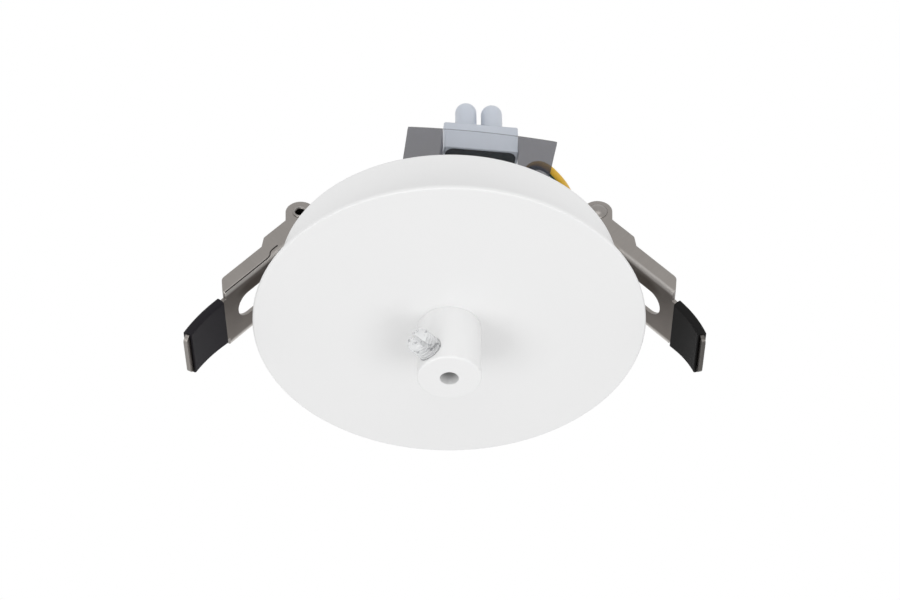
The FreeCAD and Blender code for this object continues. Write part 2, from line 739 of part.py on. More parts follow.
def make_sleeve(name):
    outer = new_body("sleeve_outer_" + name)
    outside = new_sketch(outer, "sleeve_outside_" + name, "XZ_Plane")
    radius, angle = BENDS[name]
    end_angle = "(%s - sizes.sleeve_short / %s * 180 / pi)" % (angle, radius)
    skin = "(sizes.sleeve_gap + sizes.sleeve_wall)"
    add_strip(outside, "sizes.sleeve_start", "sizes.arm_sheet + 2 * " + skin, radius, end_angle)
    pad(outer, outside, "2 * (sizes.%s_tongue_side + %s)" % (name, skin), "Symmetric")
    trim_tongue(outer, name, "sleeve_outer_slant_" + name, skin)
    round_edges(outer, "sleeve_round_" + name, skin,
                lambda edge: not along(edge, Vector(0, 1, 0))
                and edge.Length > size("sizes.arm_sheet + 2 * " + skin) + 0.5)
    inner = new_body("sleeve_inner_" + name)
    inside = new_sketch(inner, "sleeve_inside_" + name, "XZ_Plane")
    add_strip(inside, "sizes.sleeve_start - 1", "sizes.arm_sheet + 2 * sizes.sleeve_gap", radius,
              angle + " + 1")
    pad(inner, inside, "2 * (sizes.%s_tongue_side + sizes.sleeve_gap)" % name, "Symmetric")
    trim_tongue(inner, name, "sleeve_inner_slant_" + name, "sizes.sleeve_gap")
    sleeve = doc.addObject("Part::Cut", "clip_sleeve_" + name)
    sleeve.Base = outer
    sleeve.Tool = inner
    sleeve.Label = "clip_sleeve_" + name
    sleeve.Placement = arm_place(name)


# Rivets: domed head at one end, hollow and flared at the other, along the pivot's axis.

def make_rivet(name):
    rivet = new_body("clip_rivet_" + name)
    section = new_sketch(rivet, "rivet_section_" + name, "XZ_Plane")
    half = "(sizes.arm_width / 2 + sizes.rivet_end_gap)"
    dome = "((sizes.rivet_head_radius ^ 2 + sizes.rivet_head_height ^ 2) / 2 / sizes.rivet_head_height)"
    add_outline(section, [
        ("0", "-%s - sizes.rivet_head_height" % half),
        ("sizes.rivet_head_radius", "-" + half),
        ("sizes.rivet_radius", "-" + half),
        ("sizes.rivet_radius", half),
        ("sizes.rivet_flare_radius", half),
        ("sizes.rivet_flare_radius", half + " + sizes.rivet_flare / 2"),
        ("sizes.rivet_radius", half + " + sizes.rivet_flare"),
        ("sizes.rivet_hole_radius", half),
        ("sizes.rivet_hole_radius", "sizes.rivet_floor - " + half),
        ("0", "sizes.rivet_floor - " + half),
    ], {0: (dome, 1)})
    turn(rivet, section, "V_Axis")
    pivot = Vector(size(PIVOT_OUT), 0, size("sizes.pivot_height"))
    across = Placement(pivot, Rotation(Vector(1, 0, 0), -90))
    rivet.Placement = Placement(Vector(), SIDES[name]).multiply(across)


# Torsion springs: the foot lies on the bracket's leg, the long end on the arm's web.

def make_spring(name):
    coil = size("sizes.spring_coil_radius")
    wire_radius = size("sizes.spring_wire_radius")
    pitch = size("sizes.spring_pitch")
    end_out = size("sizes.spring_reach")
    end_up = size(WEB_TOP) + wire_radius + size("sizes.spring_rest_gap")
    toward_end = math.degrees(math.atan2(end_up, end_out))
    lead = math.degrees(math.acos(coil / math.hypot(end_up, end_out)))
    last_turn = (90.0 - (toward_end + lead - rest_angle)) % 360.0
    room = size(BRACKET_WIDTH + " - 2 * sizes.strap_sheet - 2 * sizes.spring_side_gap"
                " - 2 * sizes.spring_wire_radius")
    turned = last_turn + 360.0 * math.floor(room / pitch - last_turn / 360.0)
    height = pitch * turned / 360.0
    rise = pitch / (2.0 * math.pi * coil)
    start = Vector(coil, 0, 0)
    foot = start - Vector(0, 1, rise) * size("sizes.spring_foot")
    angle = math.radians(turned)
    leave = Vector(coil * math.cos(angle), coil * math.sin(angle), height)
    reach = math.sqrt(end_out ** 2 + end_up ** 2 - coil ** 2)
    tip = leave + Vector(-math.sin(angle), math.cos(angle), rise) * reach
    helix = Part.makeLongHelix(pitch, height, coil)
    edges = [Part.makeLine(foot, start)] + helix.Edges + [Part.makeLine(leave, tip)]
    path = Part.Wire(Part.__sortEdges__(edges))
    circle = Part.Wire(Part.makeCircle(wire_radius, foot, start - foot))
    spring = doc.addObject("Part::Feature", "clip_spring_" + name)
    spring.Label = "clip_spring_" + name
    spring.Shape = path.makePipeShell([circle], True, False)
    to_pivot_axis = Rotation(Vector(0, 0, 1), Vector(1, 0, 0), Vector(0, 1, 0), "XYZ")
    pivot = Vector(size(PIVOT_OUT), -height / 2, size("sizes.pivot_height"))
    spring.Placement = Placement(Vector(), SIDES[name]).multiply(Placement(pivot, to_pivot_axis))
    length = path.Length * math.pi * wire_radius ** 2
    print("spring", name, "volume", round(spring.Shape.Volume, 2), "expected", round(length, 2))


for clip_side in SIDES:
    make_arm(clip_side)
    make_sleeve(clip_side)
    make_rivet(clip_side)
    make_spring(clip_side)

# Terminal block and film. The block frame sits on the film; wires run along its X axis.

block_top_of_film = size("sizes.bridge_top + sizes.film_thick")
block_turned = Rotation(Vector(0, 0, 1), size("sizes.block_turn"))


def block_place(x, y, z, height=block_top_of_film):
    """A placement given in the block's own frame."""
    corner = Vector(size("sizes.block_x"), size("sizes.block_y"), height)
    return Placement(corner, block_turned).multiply(Placement(Vector(x, y, z), Rotation()))


POLES = {"front": "-sizes.pole_pitch", "middle": "0", "rear": "sizes.pole_pitch"}
ENDS = {"left": "-sizes.tower_spacing / 2", "right": "sizes.tower_spacing / 2"}
BLOCK_HALF = "(sizes.pole_pitch + sizes.block_end)"
TOWER_TOP = "(sizes.body_height + sizes.tower_height)"
AXIS = "sizes.wire_axis_height"

# The film lies a little askew under the block. Its hole is where the block's screw goes through.

FROM_FILM_X = "(%s - sizes.film_x)" % SCREW_X
FROM_FILM_Y = "(%s - sizes.film_y)" % SCREW_Y
insulating_film = new_body("insulating_film")
profile = new_sketch(insulating_film, "film_outline", "XY_Plane")
add_rectangle(profile, "-sizes.film_length / 2", "-sizes.film_depth / 2",
              "sizes.film_length / 2", "sizes.film_depth / 2")
pad(insulating_film, profile, "sizes.film_thick")
round_edges(insulating_film, "film_corners", "sizes.film_corner", lambda edge: along(edge, Vector(0, 0, 1)))
hole = new_sketch(insulating_film, "film_hole", "XY_Plane")
add_circle(hole, "%s * cos(sizes.film_turn) + %s * sin(sizes.film_turn)" % (FROM_FILM_X, FROM_FILM_Y),
           "%s * cos(sizes.film_turn) - %s * sin(sizes.film_turn)" % (FROM_FILM_Y, FROM_FILM_X),
           "sizes.block_screw_radius + sizes.block_screw_gap")
cut(insulating_film, hole)
film_centre = Vector(size("sizes.film_x"), size("sizes.film_y"), size("sizes.bridge_top"))
insulating_film.Placement = Placement(film_centre, Rotation(Vector(0, 0, 1), size("sizes.film_turn")))

terminal_block = new_body("terminal_block")
profile = new_sketch(terminal_block, "block_body", "XY_Plane")
add_rectangle(profile, "-sizes.block_length / 2", "-" + BLOCK_HALF, "sizes.block_length / 2", BLOCK_HALF)
pad(terminal_block, profile, "sizes.body_height")
round_edges(terminal_block, "block_edges", "sizes.body_edge_round", lambda edge: along(edge, Vector(0, 0, 1)))
towers = new_sketch(terminal_block, "block_towers", "XY_Plane")
for pole_y in POLES.values():
    for end_x in ENDS.values():
        add_circle(towers, end_x, pole_y, "sizes.tower_radius")
pad(terminal_block, towers, TOWER_TOP)
round_edges(terminal_block, "tower_tops", "sizes.tower_edge_round",
            lambda edge: isinstance(edge.Curve, Part.Circle)
            and near(edge.Curve.Radius, size("sizes.tower_radius"))
            and near(edge.Curve.Center.z, size(TOWER_TOP)))
wire_holes = new_sketch(terminal_block, "block_entries", "YZ_Plane")
for pole_y in POLES.values():
    add_circle(wire_holes, pole_y, AXIS, "sizes.entry_radius")
cut(terminal_block, wire_holes)
seats = new_sketch(terminal_block, "block_contact_seats", "YZ_Plane")
for pole_y in POLES.values():
    add_circle(seats, pole_y, AXIS, "sizes.contact_radius + sizes.contact_gap")
cut(terminal_block, seats, "sizes.contact_length + 2 * sizes.contact_gap")
shafts = new_sketch(terminal_block, "block_screw_shafts", "XY_Plane")
shafts.setExpression("AttachmentOffset.Base.z", AXIS)
for pole_y in POLES.values():
    for end_x in ENDS.values():
        add_circle(shafts, end_x, pole_y, "sizes.tower_hole_radius")
cut(terminal_block, shafts, side="One side", reverse=True)
recess = new_sketch(terminal_block, "block_recess", "XY_Plane")
for pole_y in POLES.values():
    add_rectangle(recess, "sizes.recess_wall - sizes.block_length / 2",
                  "%s - sizes.pole_pitch / 2 + sizes.recess_wall" % pole_y,
                  "sizes.block_length / 2 - sizes.recess_wall",
                  "%s + sizes.pole_pitch / 2 - sizes.recess_wall" % pole_y)
cut(terminal_block, recess, "sizes.recess_depth", side="One side", reverse=True)
round_edges(terminal_block, "recess_corners", "sizes.recess_corner",
            lambda edge: along(edge, Vector(0, 0, 1)) and near(edge.Length, size("sizes.recess_depth")))
grooves = new_sketch(terminal_block, "block_grooves", "XY_Plane")
grooves.setExpression("AttachmentOffset.Base.z", "sizes.body_height")
for sign in ("", "-"):
    add_rectangle(grooves, "-sizes.block_length / 2 - 1",
                  "%ssizes.pole_pitch / 2 - sizes.groove_width / 2" % sign,
                  "sizes.block_length / 2 + 1",
                  "%ssizes.pole_pitch / 2 + sizes.groove_width / 2" % sign)
cut(terminal_block, grooves, "sizes.groove_depth", side="One side")
hole = new_sketch(terminal_block, "block_screw_hole", "XY_Plane")
add_circle(hole, "0", "sizes.pole_pitch / 2", "sizes.block_screw_radius + sizes.block_screw_gap")
cut(terminal_block, hole)
terminal_block.Placement = block_place(0, 0, 0)


def make_contact(name, pole_y):
    contact = new_body("contact_" + name)
    outside = new_sketch(contact, "contact_round_" + name, "YZ_Plane")
    add_circle(outside, "0", "0", "sizes.contact_radius")
    pad(contact, outside, "sizes.contact_length", "Symmetric")
    inside = new_sketch(contact, "contact_hole_" + name, "YZ_Plane")
    add_circle(inside, "0", "0", "sizes.contact_hole_radius")
    cut(contact, inside)
    threads = new_sketch(contact, "contact_threads_" + name, "XY_Plane")
    for end_x in ENDS.values():
        add_circle(threads, end_x, "0", "sizes.clamp_screw_radius + sizes.clamp_screw_gap")
    cut(contact, threads, side="One side", reverse=True)
    contact.Placement = block_place(0, size(pole_y), size(AXIS))


def slotted_screw(label, radius, length, slot_width, slot_depth, place, head=None):
    """A slotted screw with its tip at the origin, or with a head above its shank."""
    shank = doc.addObject("Part::Cylinder", label + "_shank")
    shank.setExpression("Radius", radius)
    shank.setExpression("Height", length)
    solid = shank
    top, across = length, radius
    if head:
        top, across = "%s + %s" % (length, head[1]), head[0]
        cap = doc.addObject("Part::Cylinder", label + "_head")
        cap.setExpression("Radius", head[0])
        cap.setExpression("Height", head[1])
        cap.setExpression("Placement.Base.z", length)
        solid = doc.addObject("Part::Fuse", label + "_blank")
        solid.Base = shank
        solid.Tool = cap
    slot = doc.addObject("Part::Box", label + "_slot")
    slot.setExpression("Length", slot_width)
    slot.setExpression("Width", "2 * (%s) + 1" % across)
    slot.setExpression("Height", slot_depth + " + 1")
    slot.setExpression("Placement.Base.x", "-(%s) / 2" % slot_width)
    slot.setExpression("Placement.Base.y", "-(%s) - 0.5" % across)
    slot.setExpression("Placement.Base.z", "%s - %s" % (top, slot_depth))
    screw = doc.addObject("Part::Cut", label)
    screw.Base = solid
    screw.Tool = slot
    screw.Label = label
    screw.Placement = place
    return screw


wire_level = size("sizes.wire_axis_height - sizes.contact_hole_radius + sizes.core_radius"
                  " + sizes.core_seat_gap")
OPEN_LEVEL = size("sizes.wire_axis_height + sizes.contact_hole_radius")
for pole, pole_y in POLES.items():
    make_contact(pole, pole_y)
    for end, end_x in ENDS.items():
        holds_wire = pole == "middle" and end == "right"
        level = wire_level + size("sizes.core_radius + sizes.core_seat_gap") if holds_wire else OPEN_LEVEL
        slotted_screw("clamp_screw_%s_%s" % (pole, end), "sizes.clamp_screw_radius",
                      "sizes.clamp_screw_length", "sizes.clamp_slot_width", "sizes.clamp_slot_depth",
                      block_place(size(end_x), size(pole_y), level))

BOLT_LENGTH = ("sizes.body_height + sizes.film_thick + sizes.bridge_sheet + sizes.block_nut_thick"
               " + sizes.block_screw_end")
slotted_screw("block_screw", "sizes.block_screw_radius", BOLT_LENGTH,
              "sizes.clamp_slot_width", "sizes.clamp_slot_depth",
              block_place(0, size("sizes.pole_pitch / 2"), size("sizes.body_height") - size(BOLT_LENGTH)),
              ("sizes.block_head_radius", "sizes.block_head_height"))
ring_piece("block_nut", "sizes.block_nut_flats", "sizes.block_screw_radius + " + THREAD_GAP,
           "sizes.block_nut_thick",
           block_place(0, size("sizes.pole_pitch / 2"), -size("sizes.block_nut_thick"), size(BRIDGE_UNDER)),
           6)

# Ring terminal under the right-hand nut, with its barrel towards the front.

ring = doc.addObject("Part::Cylinder", "ring_terminal_ring")
ring.setExpression("Radius", "sizes.ring_radius")
ring.setExpression("Height", "sizes.ring_thick")
neck = doc.addObject("Part::Box", "ring_terminal_neck")
neck.setExpression("Length", "sizes.barrel_radius * 2 * 0.8")
neck.setExpression("Width", "sizes.barrel_start")
neck.setExpression("Height", "sizes.ring_thick")
neck.setExpression("Placement.Base.x", "-sizes.barrel_radius * 0.8")
neck.setExpression("Placement.Base.y", "-sizes.barrel_start - 0.5")
barrel = doc.addObject("Part::Cylinder", "ring_terminal_barrel")
barrel.setExpression("Radius", "sizes.barrel_radius")
barrel.setExpression("Height", "sizes.barrel_length")
barrel.Placement = Placement(Vector(0, -size("sizes.barrel_start"), size("sizes.barrel_radius")),
                             Rotation(Vector(1, 0, 0), 90))
blank = doc.addObject("Part::MultiFuse", "ring_terminal_blank")
blank.Shapes = [ring, neck, barrel]
stud_hole = doc.addObject("Part::Cylinder", "ring_terminal_stud_hole")
stud_hole.setExpression("Radius", "sizes.stud_radius + sizes.stud_gap")
stud_hole.setExpression("Height", "sizes.ring_thick")
barrel_hole = doc.addObject("Part::Cylinder", "ring_terminal_barrel_hole")
barrel_hole.setExpression("Radius", "sizes.core_radius + sizes.barrel_hole_gap")
barrel_hole.setExpression("Height", "sizes.barrel_length + 1")
barrel_hole.Placement = Placement(Vector(0, 1 - size("sizes.barrel_start"), size("sizes.barrel_radius")),
                                  Rotation(Vector(1, 0, 0), 90))
holes = doc.addObject("Part::MultiFuse", "ring_terminal_holes")
holes.Shapes = [stud_hole, barrel_hole]
ring_terminal = doc.addObject("Part::Cut", "ring_terminal")
ring_terminal.Base = blank
ring_terminal.Tool = holes
ring_terminal.Label = "ring_terminal"
ring_terminal.Placement = at_height(size(STUD_OUT), foot_top)
doc.recompute()

# Earth wire: from the middle pole's right-hand end down to the ring terminal.
# The first and last points follow the block and the terminal; the others are chosen by hand.

contact_end = size("sizes.contact_length / 2")
insulation_gap = size("sizes.insulation_gap")
wire_start = block_place(contact_end + insulation_gap, 0, wire_level).Base
wire_leaves = block_place(contact_end + insulation_gap + size("sizes.wire_straight"), 0, wire_level).Base
barrel_mouth = Vector(size(STUD_OUT),
                      -size("sizes.barrel_start + sizes.barrel_length") - insulation_gap,
                      foot_top + size("sizes.barrel_radius"))
route = [
    wire_start,
    wire_leaves,
    Vector(21.6, -9.7, 47.9),
    Vector(25.3, -12.2, 45.5),
    Vector(29.4, -11.4, 40.3),
    Vector(31.1, -12.0, 35.2),
    Vector(32.6, -13.0, 28.0),
    Vector(32.4, -18.6, 19.0),
    Vector(31.4, -24.0, 11.6),
    barrel_mouth - Vector(0, size("sizes.barrel_lead"), 0),
    barrel_mouth,
]


def tube_along(points, radius):
    """Straight runs joined by tangent arcs, each as large as its two runs allow."""
    edges = []
    here = points[0]
    for before, corner, after in zip(points, points[1:], points[2:]):
        first = (before - corner).normalize()
        second = (after - corner).normalize()
        turned = math.pi - first.getAngle(second)
        shorter = min(before.distanceToPoint(corner), after.distanceToPoint(corner))
        bend = 0.45 * shorter / math.tan(turned / 2)
        enter = corner + first * (0.45 * shorter)
        leave = corner + second * (0.45 * shorter)
        inward = (first + second).normalize()
        middle = corner + inward * (bend / math.cos(turned / 2) - bend)
        edges.append(Part.LineSegment(here, enter).toShape())
        edges.append(Part.Arc(enter, middle, leave).toShape())
        here = leave
        print("wire bend radius", round(bend, 2))
    edges.append(Part.LineSegment(here, points[-1]).toShape())
    path = Part.Wire(edges)
    circle = Part.Wire(Part.makeCircle(radius, points[0], points[1] - points[0]))
    solid = path.makePipeShell([circle], True, True)
    print("tube volume", round(solid.Volume, 2), "expected", round(path.Length * math.pi * radius ** 2, 2),
          "length", round(path.Length, 1))
    return solid


earth_wire = doc.addObject("Part::Feature", "earth_wire")
earth_wire.Label = "earth_wire"
earth_wire.Shape = tube_along(route, size("sizes.wire_radius"))

bare = size("sizes.core_bare")
in_contact = Part.makeCylinder(size("sizes.core_radius"), bare, wire_start, wire_start - wire_leaves)
in_barrel = Part.makeCylinder(size("sizes.core_radius"), bare, barrel_mouth, Vector(0, 1, 0))
earth_wire_ends = doc.addObject("Part::Feature", "earth_wire_ends")
earth_wire_ends.Label = "earth_wire_ends"
earth_wire_ends.Shape = Part.makeCompound([in_contact, in_barrel])

# Every piece is checked before any file is written.

NODES = [
    "canopy", "cord_grip", "grip_screw", "lock_washer", "lock_nut", "mounting_bracket",
    "terminal_bridge", "insulating_film", "terminal_block", "block_screw", "block_nut",
    "ring_terminal", "earth_wire", "earth_wire_ends",
]
for clip_side in SIDES:
    NODES += [stem + clip_side for stem in ("clip_arm_", "clip_sleeve_", "clip_rivet_", "clip_spring_",
                                            "bridge_stud_", "stud_washer_", "stud_nut_")]
for pole in POLES:
    NODES.append("contact_" + pole)
    NODES += ["clamp_screw_%s_%s" % (pole, end) for end in ENDS]

doc.recompute()
for item in doc.Objects:
    if "Invalid" in item.State or "Error" in item.State:
        raise ValueError("%s did not build: %s" % (item.Name, item.State))
pieces = {}
for name in NODES:
    found = doc.getObjectsByLabel(name)
    if len(found) != 1:
        raise ValueError("not one piece called " + name)
    shape = found[0].Shape
    if shape.isNull() or not shape.isValid() or not shape.Solids:
        raise ValueError(name + " has no sound shape")
    pieces[name] = shape
os.makedirs("parts", exist_ok=True)
for name, shape in pieces.items():
    shape.exportStep("parts/%s.step" % name)
print(len(pieces), "pieces, rest angle", round(rest_angle, 2))
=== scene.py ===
import math

import bmesh
import bpy
from mathutils import Matrix, Vector


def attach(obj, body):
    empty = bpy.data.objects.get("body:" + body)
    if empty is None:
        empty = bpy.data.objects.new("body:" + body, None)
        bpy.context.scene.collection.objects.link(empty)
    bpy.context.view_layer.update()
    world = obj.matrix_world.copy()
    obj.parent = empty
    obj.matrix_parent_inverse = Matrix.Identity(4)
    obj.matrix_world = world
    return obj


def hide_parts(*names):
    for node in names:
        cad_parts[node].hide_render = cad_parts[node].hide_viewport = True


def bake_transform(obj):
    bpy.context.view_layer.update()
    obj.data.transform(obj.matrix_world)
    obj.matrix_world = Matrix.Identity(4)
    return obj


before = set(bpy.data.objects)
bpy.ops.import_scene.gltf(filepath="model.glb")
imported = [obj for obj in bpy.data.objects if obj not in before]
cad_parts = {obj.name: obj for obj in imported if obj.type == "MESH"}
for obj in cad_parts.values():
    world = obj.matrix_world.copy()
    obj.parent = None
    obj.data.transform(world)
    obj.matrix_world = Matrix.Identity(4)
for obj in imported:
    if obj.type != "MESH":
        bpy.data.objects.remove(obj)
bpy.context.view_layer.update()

MM = 0.001

# Where the arms' pivots are, out and up from the origin in millimetres, and how far the arms lean below
# level, in degrees.

PIVOT_OUT, PIVOT_UP = 38.8, 30.5
ARM_LEAN = 49.5

# Small helpers for shader trees.


def link_up(tree, *pairs):
    """Join output sockets to input sockets, given as (output, input) pairs."""
    for output, socket in pairs:
        tree.links.new(output, socket)


def add_node(tree, kind, **settings):
    """A shader node with its properties set; lower-case names are attributes of the node."""
    node = tree.nodes.new(kind)
    for name, value in settings.items():
        setattr(node, name, value)
    return node


def new_effect(name, inputs, outputs):
    """An empty node group with named sockets. inputs are (name, kind, starting value)."""
    tree = bpy.data.node_groups.new(name, "ShaderNodeTree")
    for socket_name, kind, value in inputs:
        socket = tree.interface.new_socket(socket_name, in_out="INPUT", socket_type="NodeSocket" + kind)
        if value is not None:
            socket.default_value = value
    for socket_name, kind in outputs:
        tree.interface.new_socket(socket_name, in_out="OUTPUT", socket_type="NodeSocket" + kind)
    return tree, tree.nodes.new("NodeGroupInput"), tree.nodes.new("NodeGroupOutput")


def math_node(tree, operation, first, second=None, clamp=False):
    """A math node fed by sockets or plain numbers; returns its output."""
    node = add_node(tree, "ShaderNodeMath", operation=operation, use_clamp=clamp)
    for socket, value in zip(node.inputs, (first, second)):
        if isinstance(value, (int, float)):
            socket.default_value = value
        elif value is not None:
            tree.links.new(value, socket)
    return node.outputs[0]


def mix_colors(tree, factor, first, second, blend="MIX"):
    """A colour mix fed by sockets or plain colours; returns its output."""
    node = add_node(tree, "ShaderNodeMix", data_type="RGBA", blend_type=blend)
    factor_socket, first_socket, second_socket = node.inputs[0], node.inputs[6], node.inputs[7]
    for socket, value in ((factor_socket, factor), (first_socket, first), (second_socket, second)):
        if isinstance(value, (int, float, tuple)):
            socket.default_value = value
        else:
            tree.links.new(value, socket)
    return node.outputs[2]


def fade(tree, value, start, end, low=0.0, high=1.0):
    """Ease from low, where the value is at start, to high, where it is at end."""
    node = add_node(tree, "ShaderNodeMapRange", interpolation_type="SMOOTHSTEP")
    for name, number in (("From Min", start), ("From Max", end), ("To Min", low), ("To Max", high)):
        node.inputs[name].default_value = number
    tree.links.new(value, node.inputs["Value"])
    return node.outputs["Result"]


def vector_node(tree, operation, first, second=None):
    """A vector math node fed by a socket and a plain vector or a second socket."""
    node = add_node(tree, "ShaderNodeVectorMath", operation=operation)
    tree.links.new(first, node.inputs[0])
    if isinstance(second, tuple):
        node.inputs[1].default_value = second
    elif second is not None:
        tree.links.new(second, node.inputs[1])
    return node


def split_vector(tree, vector):
    """The X, Y and Z outputs of a vector, by name."""
    node = add_node(tree, "ShaderNodeSeparateXYZ")
    tree.links.new(vector, node.inputs["Vector"])
    return node.outputs


def per_metre(tree, per_mm):
    """A scale given per millimetre, as noise textures in metres need it."""
    return math_node(tree, "MULTIPLY", per_mm, 1 / MM)


def spread_roughness(tree, given, value):
    """A group's roughness, half its spread lower where the value is 0 and half higher where it is 1."""
    half = math_node(tree, "MULTIPLY", given.outputs["Roughness Spread"], 0.5)
    node = add_node(tree, "ShaderNodeMapRange")
    link_up(tree, (value, node.inputs["Value"]),
            (math_node(tree, "SUBTRACT", given.outputs["Roughness"], half), node.inputs["To Min"]),
            (math_node(tree, "ADD", given.outputs["Roughness"], half), node.inputs["To Max"]))
    return node.outputs["Result"]


# Shared surface effects. Each is built once and placed in the materials that use it.

STREAK_SHARE = 0.55


def make_grain_effect():
    """Fine streaks of rolled or drawn metal: stretched noise that shifts shade, roughness and height."""
    tree, given, result = new_effect("rolled_grain", [
        ("Vector", "Vector", None), ("Streaks per mm", "Float", 6.0), ("Cloud per mm", "Float", 0.12),
        ("Light Color", "Color", (0.6, 0.6, 0.6, 1)), ("Dark Color", "Color", (0.4, 0.4, 0.4, 1)),
        ("Roughness", "Float", 0.3), ("Roughness Spread", "Float", 0.08)],
        [("Color", "Color"), ("Roughness", "Float"), ("Height", "Float")])
    streaks = add_node(tree, "ShaderNodeTexNoise")
    streaks.inputs["Detail"].default_value = 4.0
    streaks.inputs["Roughness"].default_value = 0.65
    cloud = add_node(tree, "ShaderNodeTexNoise")
    cloud.inputs["Detail"].default_value = 2.0
    link_up(tree, (given.outputs["Vector"], streaks.inputs["Vector"]),
            (per_metre(tree, given.outputs["Streaks per mm"]), streaks.inputs["Scale"]),
            (given.outputs["Vector"], cloud.inputs["Vector"]),
            (per_metre(tree, given.outputs["Cloud per mm"]), cloud.inputs["Scale"]))
    shade = math_node(tree, "ADD", math_node(tree, "MULTIPLY", streaks.outputs["Fac"], STREAK_SHARE),
                      math_node(tree, "MULTIPLY", cloud.outputs["Fac"], 1 - STREAK_SHARE))
    color = mix_colors(tree, shade, given.outputs["Dark Color"], given.outputs["Light Color"])
    link_up(tree, (color, result.inputs["Color"]),
            (spread_roughness(tree, given, streaks.outputs["Fac"]), result.inputs["Roughness"]),
            (streaks.outputs["Fac"], result.inputs["Height"]))
    return tree


def make_skin_effect():
    """The skin of paint, plastic or rubber: fine cells over a slow drift of shade."""
    tree, given, result = new_effect("fine_skin", [
        ("Vector", "Vector", None), ("Cells per mm", "Float", 3.0), ("Drift per mm", "Float", 0.05),
        ("Color", "Color", (0.8, 0.8, 0.8, 1)), ("Drift Color", "Color", (0.7, 0.7, 0.7, 1)),
        ("Roughness", "Float", 0.5), ("Roughness Spread", "Float", 0.06)],
        [("Color", "Color"), ("Roughness", "Float"), ("Height", "Float")])
    cells = add_node(tree, "ShaderNodeTexNoise")
    cells.inputs["Detail"].default_value = 3.0
    drift = add_node(tree, "ShaderNodeTexNoise")
    drift.inputs["Detail"].default_value = 3.0
    link_up(tree, (given.outputs["Vector"], cells.inputs["Vector"]),
            (given.outputs["Vector"], drift.inputs["Vector"]),
            (per_metre(tree, given.outputs["Cells per mm"]), cells.inputs["Scale"]),
            (per_metre(tree, given.outputs["Drift per mm"]), drift.inputs["Scale"]))
    color = mix_colors(tree, drift.outputs["Fac"], given.outputs["Color"], given.outputs["Drift Color"])
    link_up(tree, (color, result.inputs["Color"]),
            (spread_roughness(tree, given, drift.outputs["Fac"]), result.inputs["Roughness"]),
            (cells.outputs["Fac"], result.inputs["Height"]))
    return tree


def make_edge_effect():
    """A mask of the outer and inner edges, from how far the rounded normal leaves the true one."""
    tree, given, result = new_effect("edge_mask", [("Width mm", "Float", 0.3), ("Gain", "Float", 3.0)],
                                     [("Mask", "Float"), ("Normal", "Vector")])
    rounded = add_node(tree, "ShaderNodeBevel", samples=6)
    surface = add_node(tree, "ShaderNodeNewGeometry")
    product = vector_node(tree, "DOT_PRODUCT", rounded.outputs["Normal"], surface.outputs["Normal"])
    leaves = math_node(tree, "SUBTRACT", 1.0, product.outputs["Value"])
    mask = math_node(tree, "MULTIPLY", leaves, given.outputs["Gain"], clamp=True)
    link_up(tree, (math_node(tree, "MULTIPLY", given.outputs["Width mm"], MM), rounded.inputs["Radius"]),
            (mask, result.inputs["Mask"]), (rounded.outputs["Normal"], result.inputs["Normal"]))
    return tree


GRAIN = make_grain_effect()
SKIN = make_skin_effect()
EDGES = make_edge_effect()


def new_material(name, **constants):
    """A material with a Principled surface. constants are values of the shader's own sockets."""
    material = bpy.data.materials.new(name)
    material.use_nodes = True
    tree = material.node_tree
    shader = tree.nodes["Principled BSDF"]
    for socket, value in constants.items():
        shader.inputs[socket.replace("_", " ")].default_value = value
    return material, tree, shader


def place_effect(tree, effect, **values):
    """Put a shared effect in a material, with its own values by socket name."""
    node = add_node(tree, "ShaderNodeGroup", node_tree=effect)
    for name, value in values.items():
        node.inputs[name.replace("_", " ")].default_value = value
    return node


def object_place(tree, stretch=(1, 1, 1), lean=0.0):
    """Object coordinates, turned about Y by lean degrees and then stretched."""
    coordinates = add_node(tree, "ShaderNodeTexCoord")
    turned = add_node(tree, "ShaderNodeMapping")
    turned.inputs["Rotation"].default_value = (0, math.radians(lean), 0)
    stretched = add_node(tree, "ShaderNodeMapping")
    stretched.inputs["Scale"].default_value = stretch
    link_up(tree, (coordinates.outputs["Object"], turned.inputs["Vector"]),
            (turned.outputs["Vector"], stretched.inputs["Vector"]))
    return stretched.outputs["Vector"]


def bump_into(tree, shader, height, depth_mm, base_normal=None):
    """Feed a height into the shader's normal, over a rounded normal where one is given."""
    bump = add_node(tree, "ShaderNodeBump")
    bump.inputs["Strength"].default_value = 1.0
    bump.inputs["Distance"].default_value = depth_mm * MM
    link_up(tree, (height, bump.inputs["Height"]), (bump.outputs["Normal"], shader.inputs["Normal"]))
    if base_normal:
        tree.links.new(base_normal, bump.inputs["Normal"])


def metal_finish(name, light, dark, roughness, stretch, lean=0.0, streaks=3.0, worn=None):
    """Grained metal with brighter worn edges."""
    material, tree, shader = new_material(name, Metallic=1.0)
    grain = place_effect(tree, GRAIN, Streaks_per_mm=streaks, Light_Color=light + (1,),
                         Dark_Color=dark + (1,), Roughness=roughness, Roughness_Spread=0.10)
    edges = place_effect(tree, EDGES, Width_mm=0.25, Gain=2.5)
    link_up(tree, (object_place(tree, stretch, lean), grain.inputs["Vector"]),
            (mix_colors(tree, edges.outputs["Mask"], grain.outputs["Color"], (worn or light) + (1,)),
             shader.inputs["Base Color"]),
            (grain.outputs["Roughness"], shader.inputs["Roughness"]))
    bump_into(tree, shader, grain.outputs["Height"], 0.004, edges.outputs["Normal"])
    return material


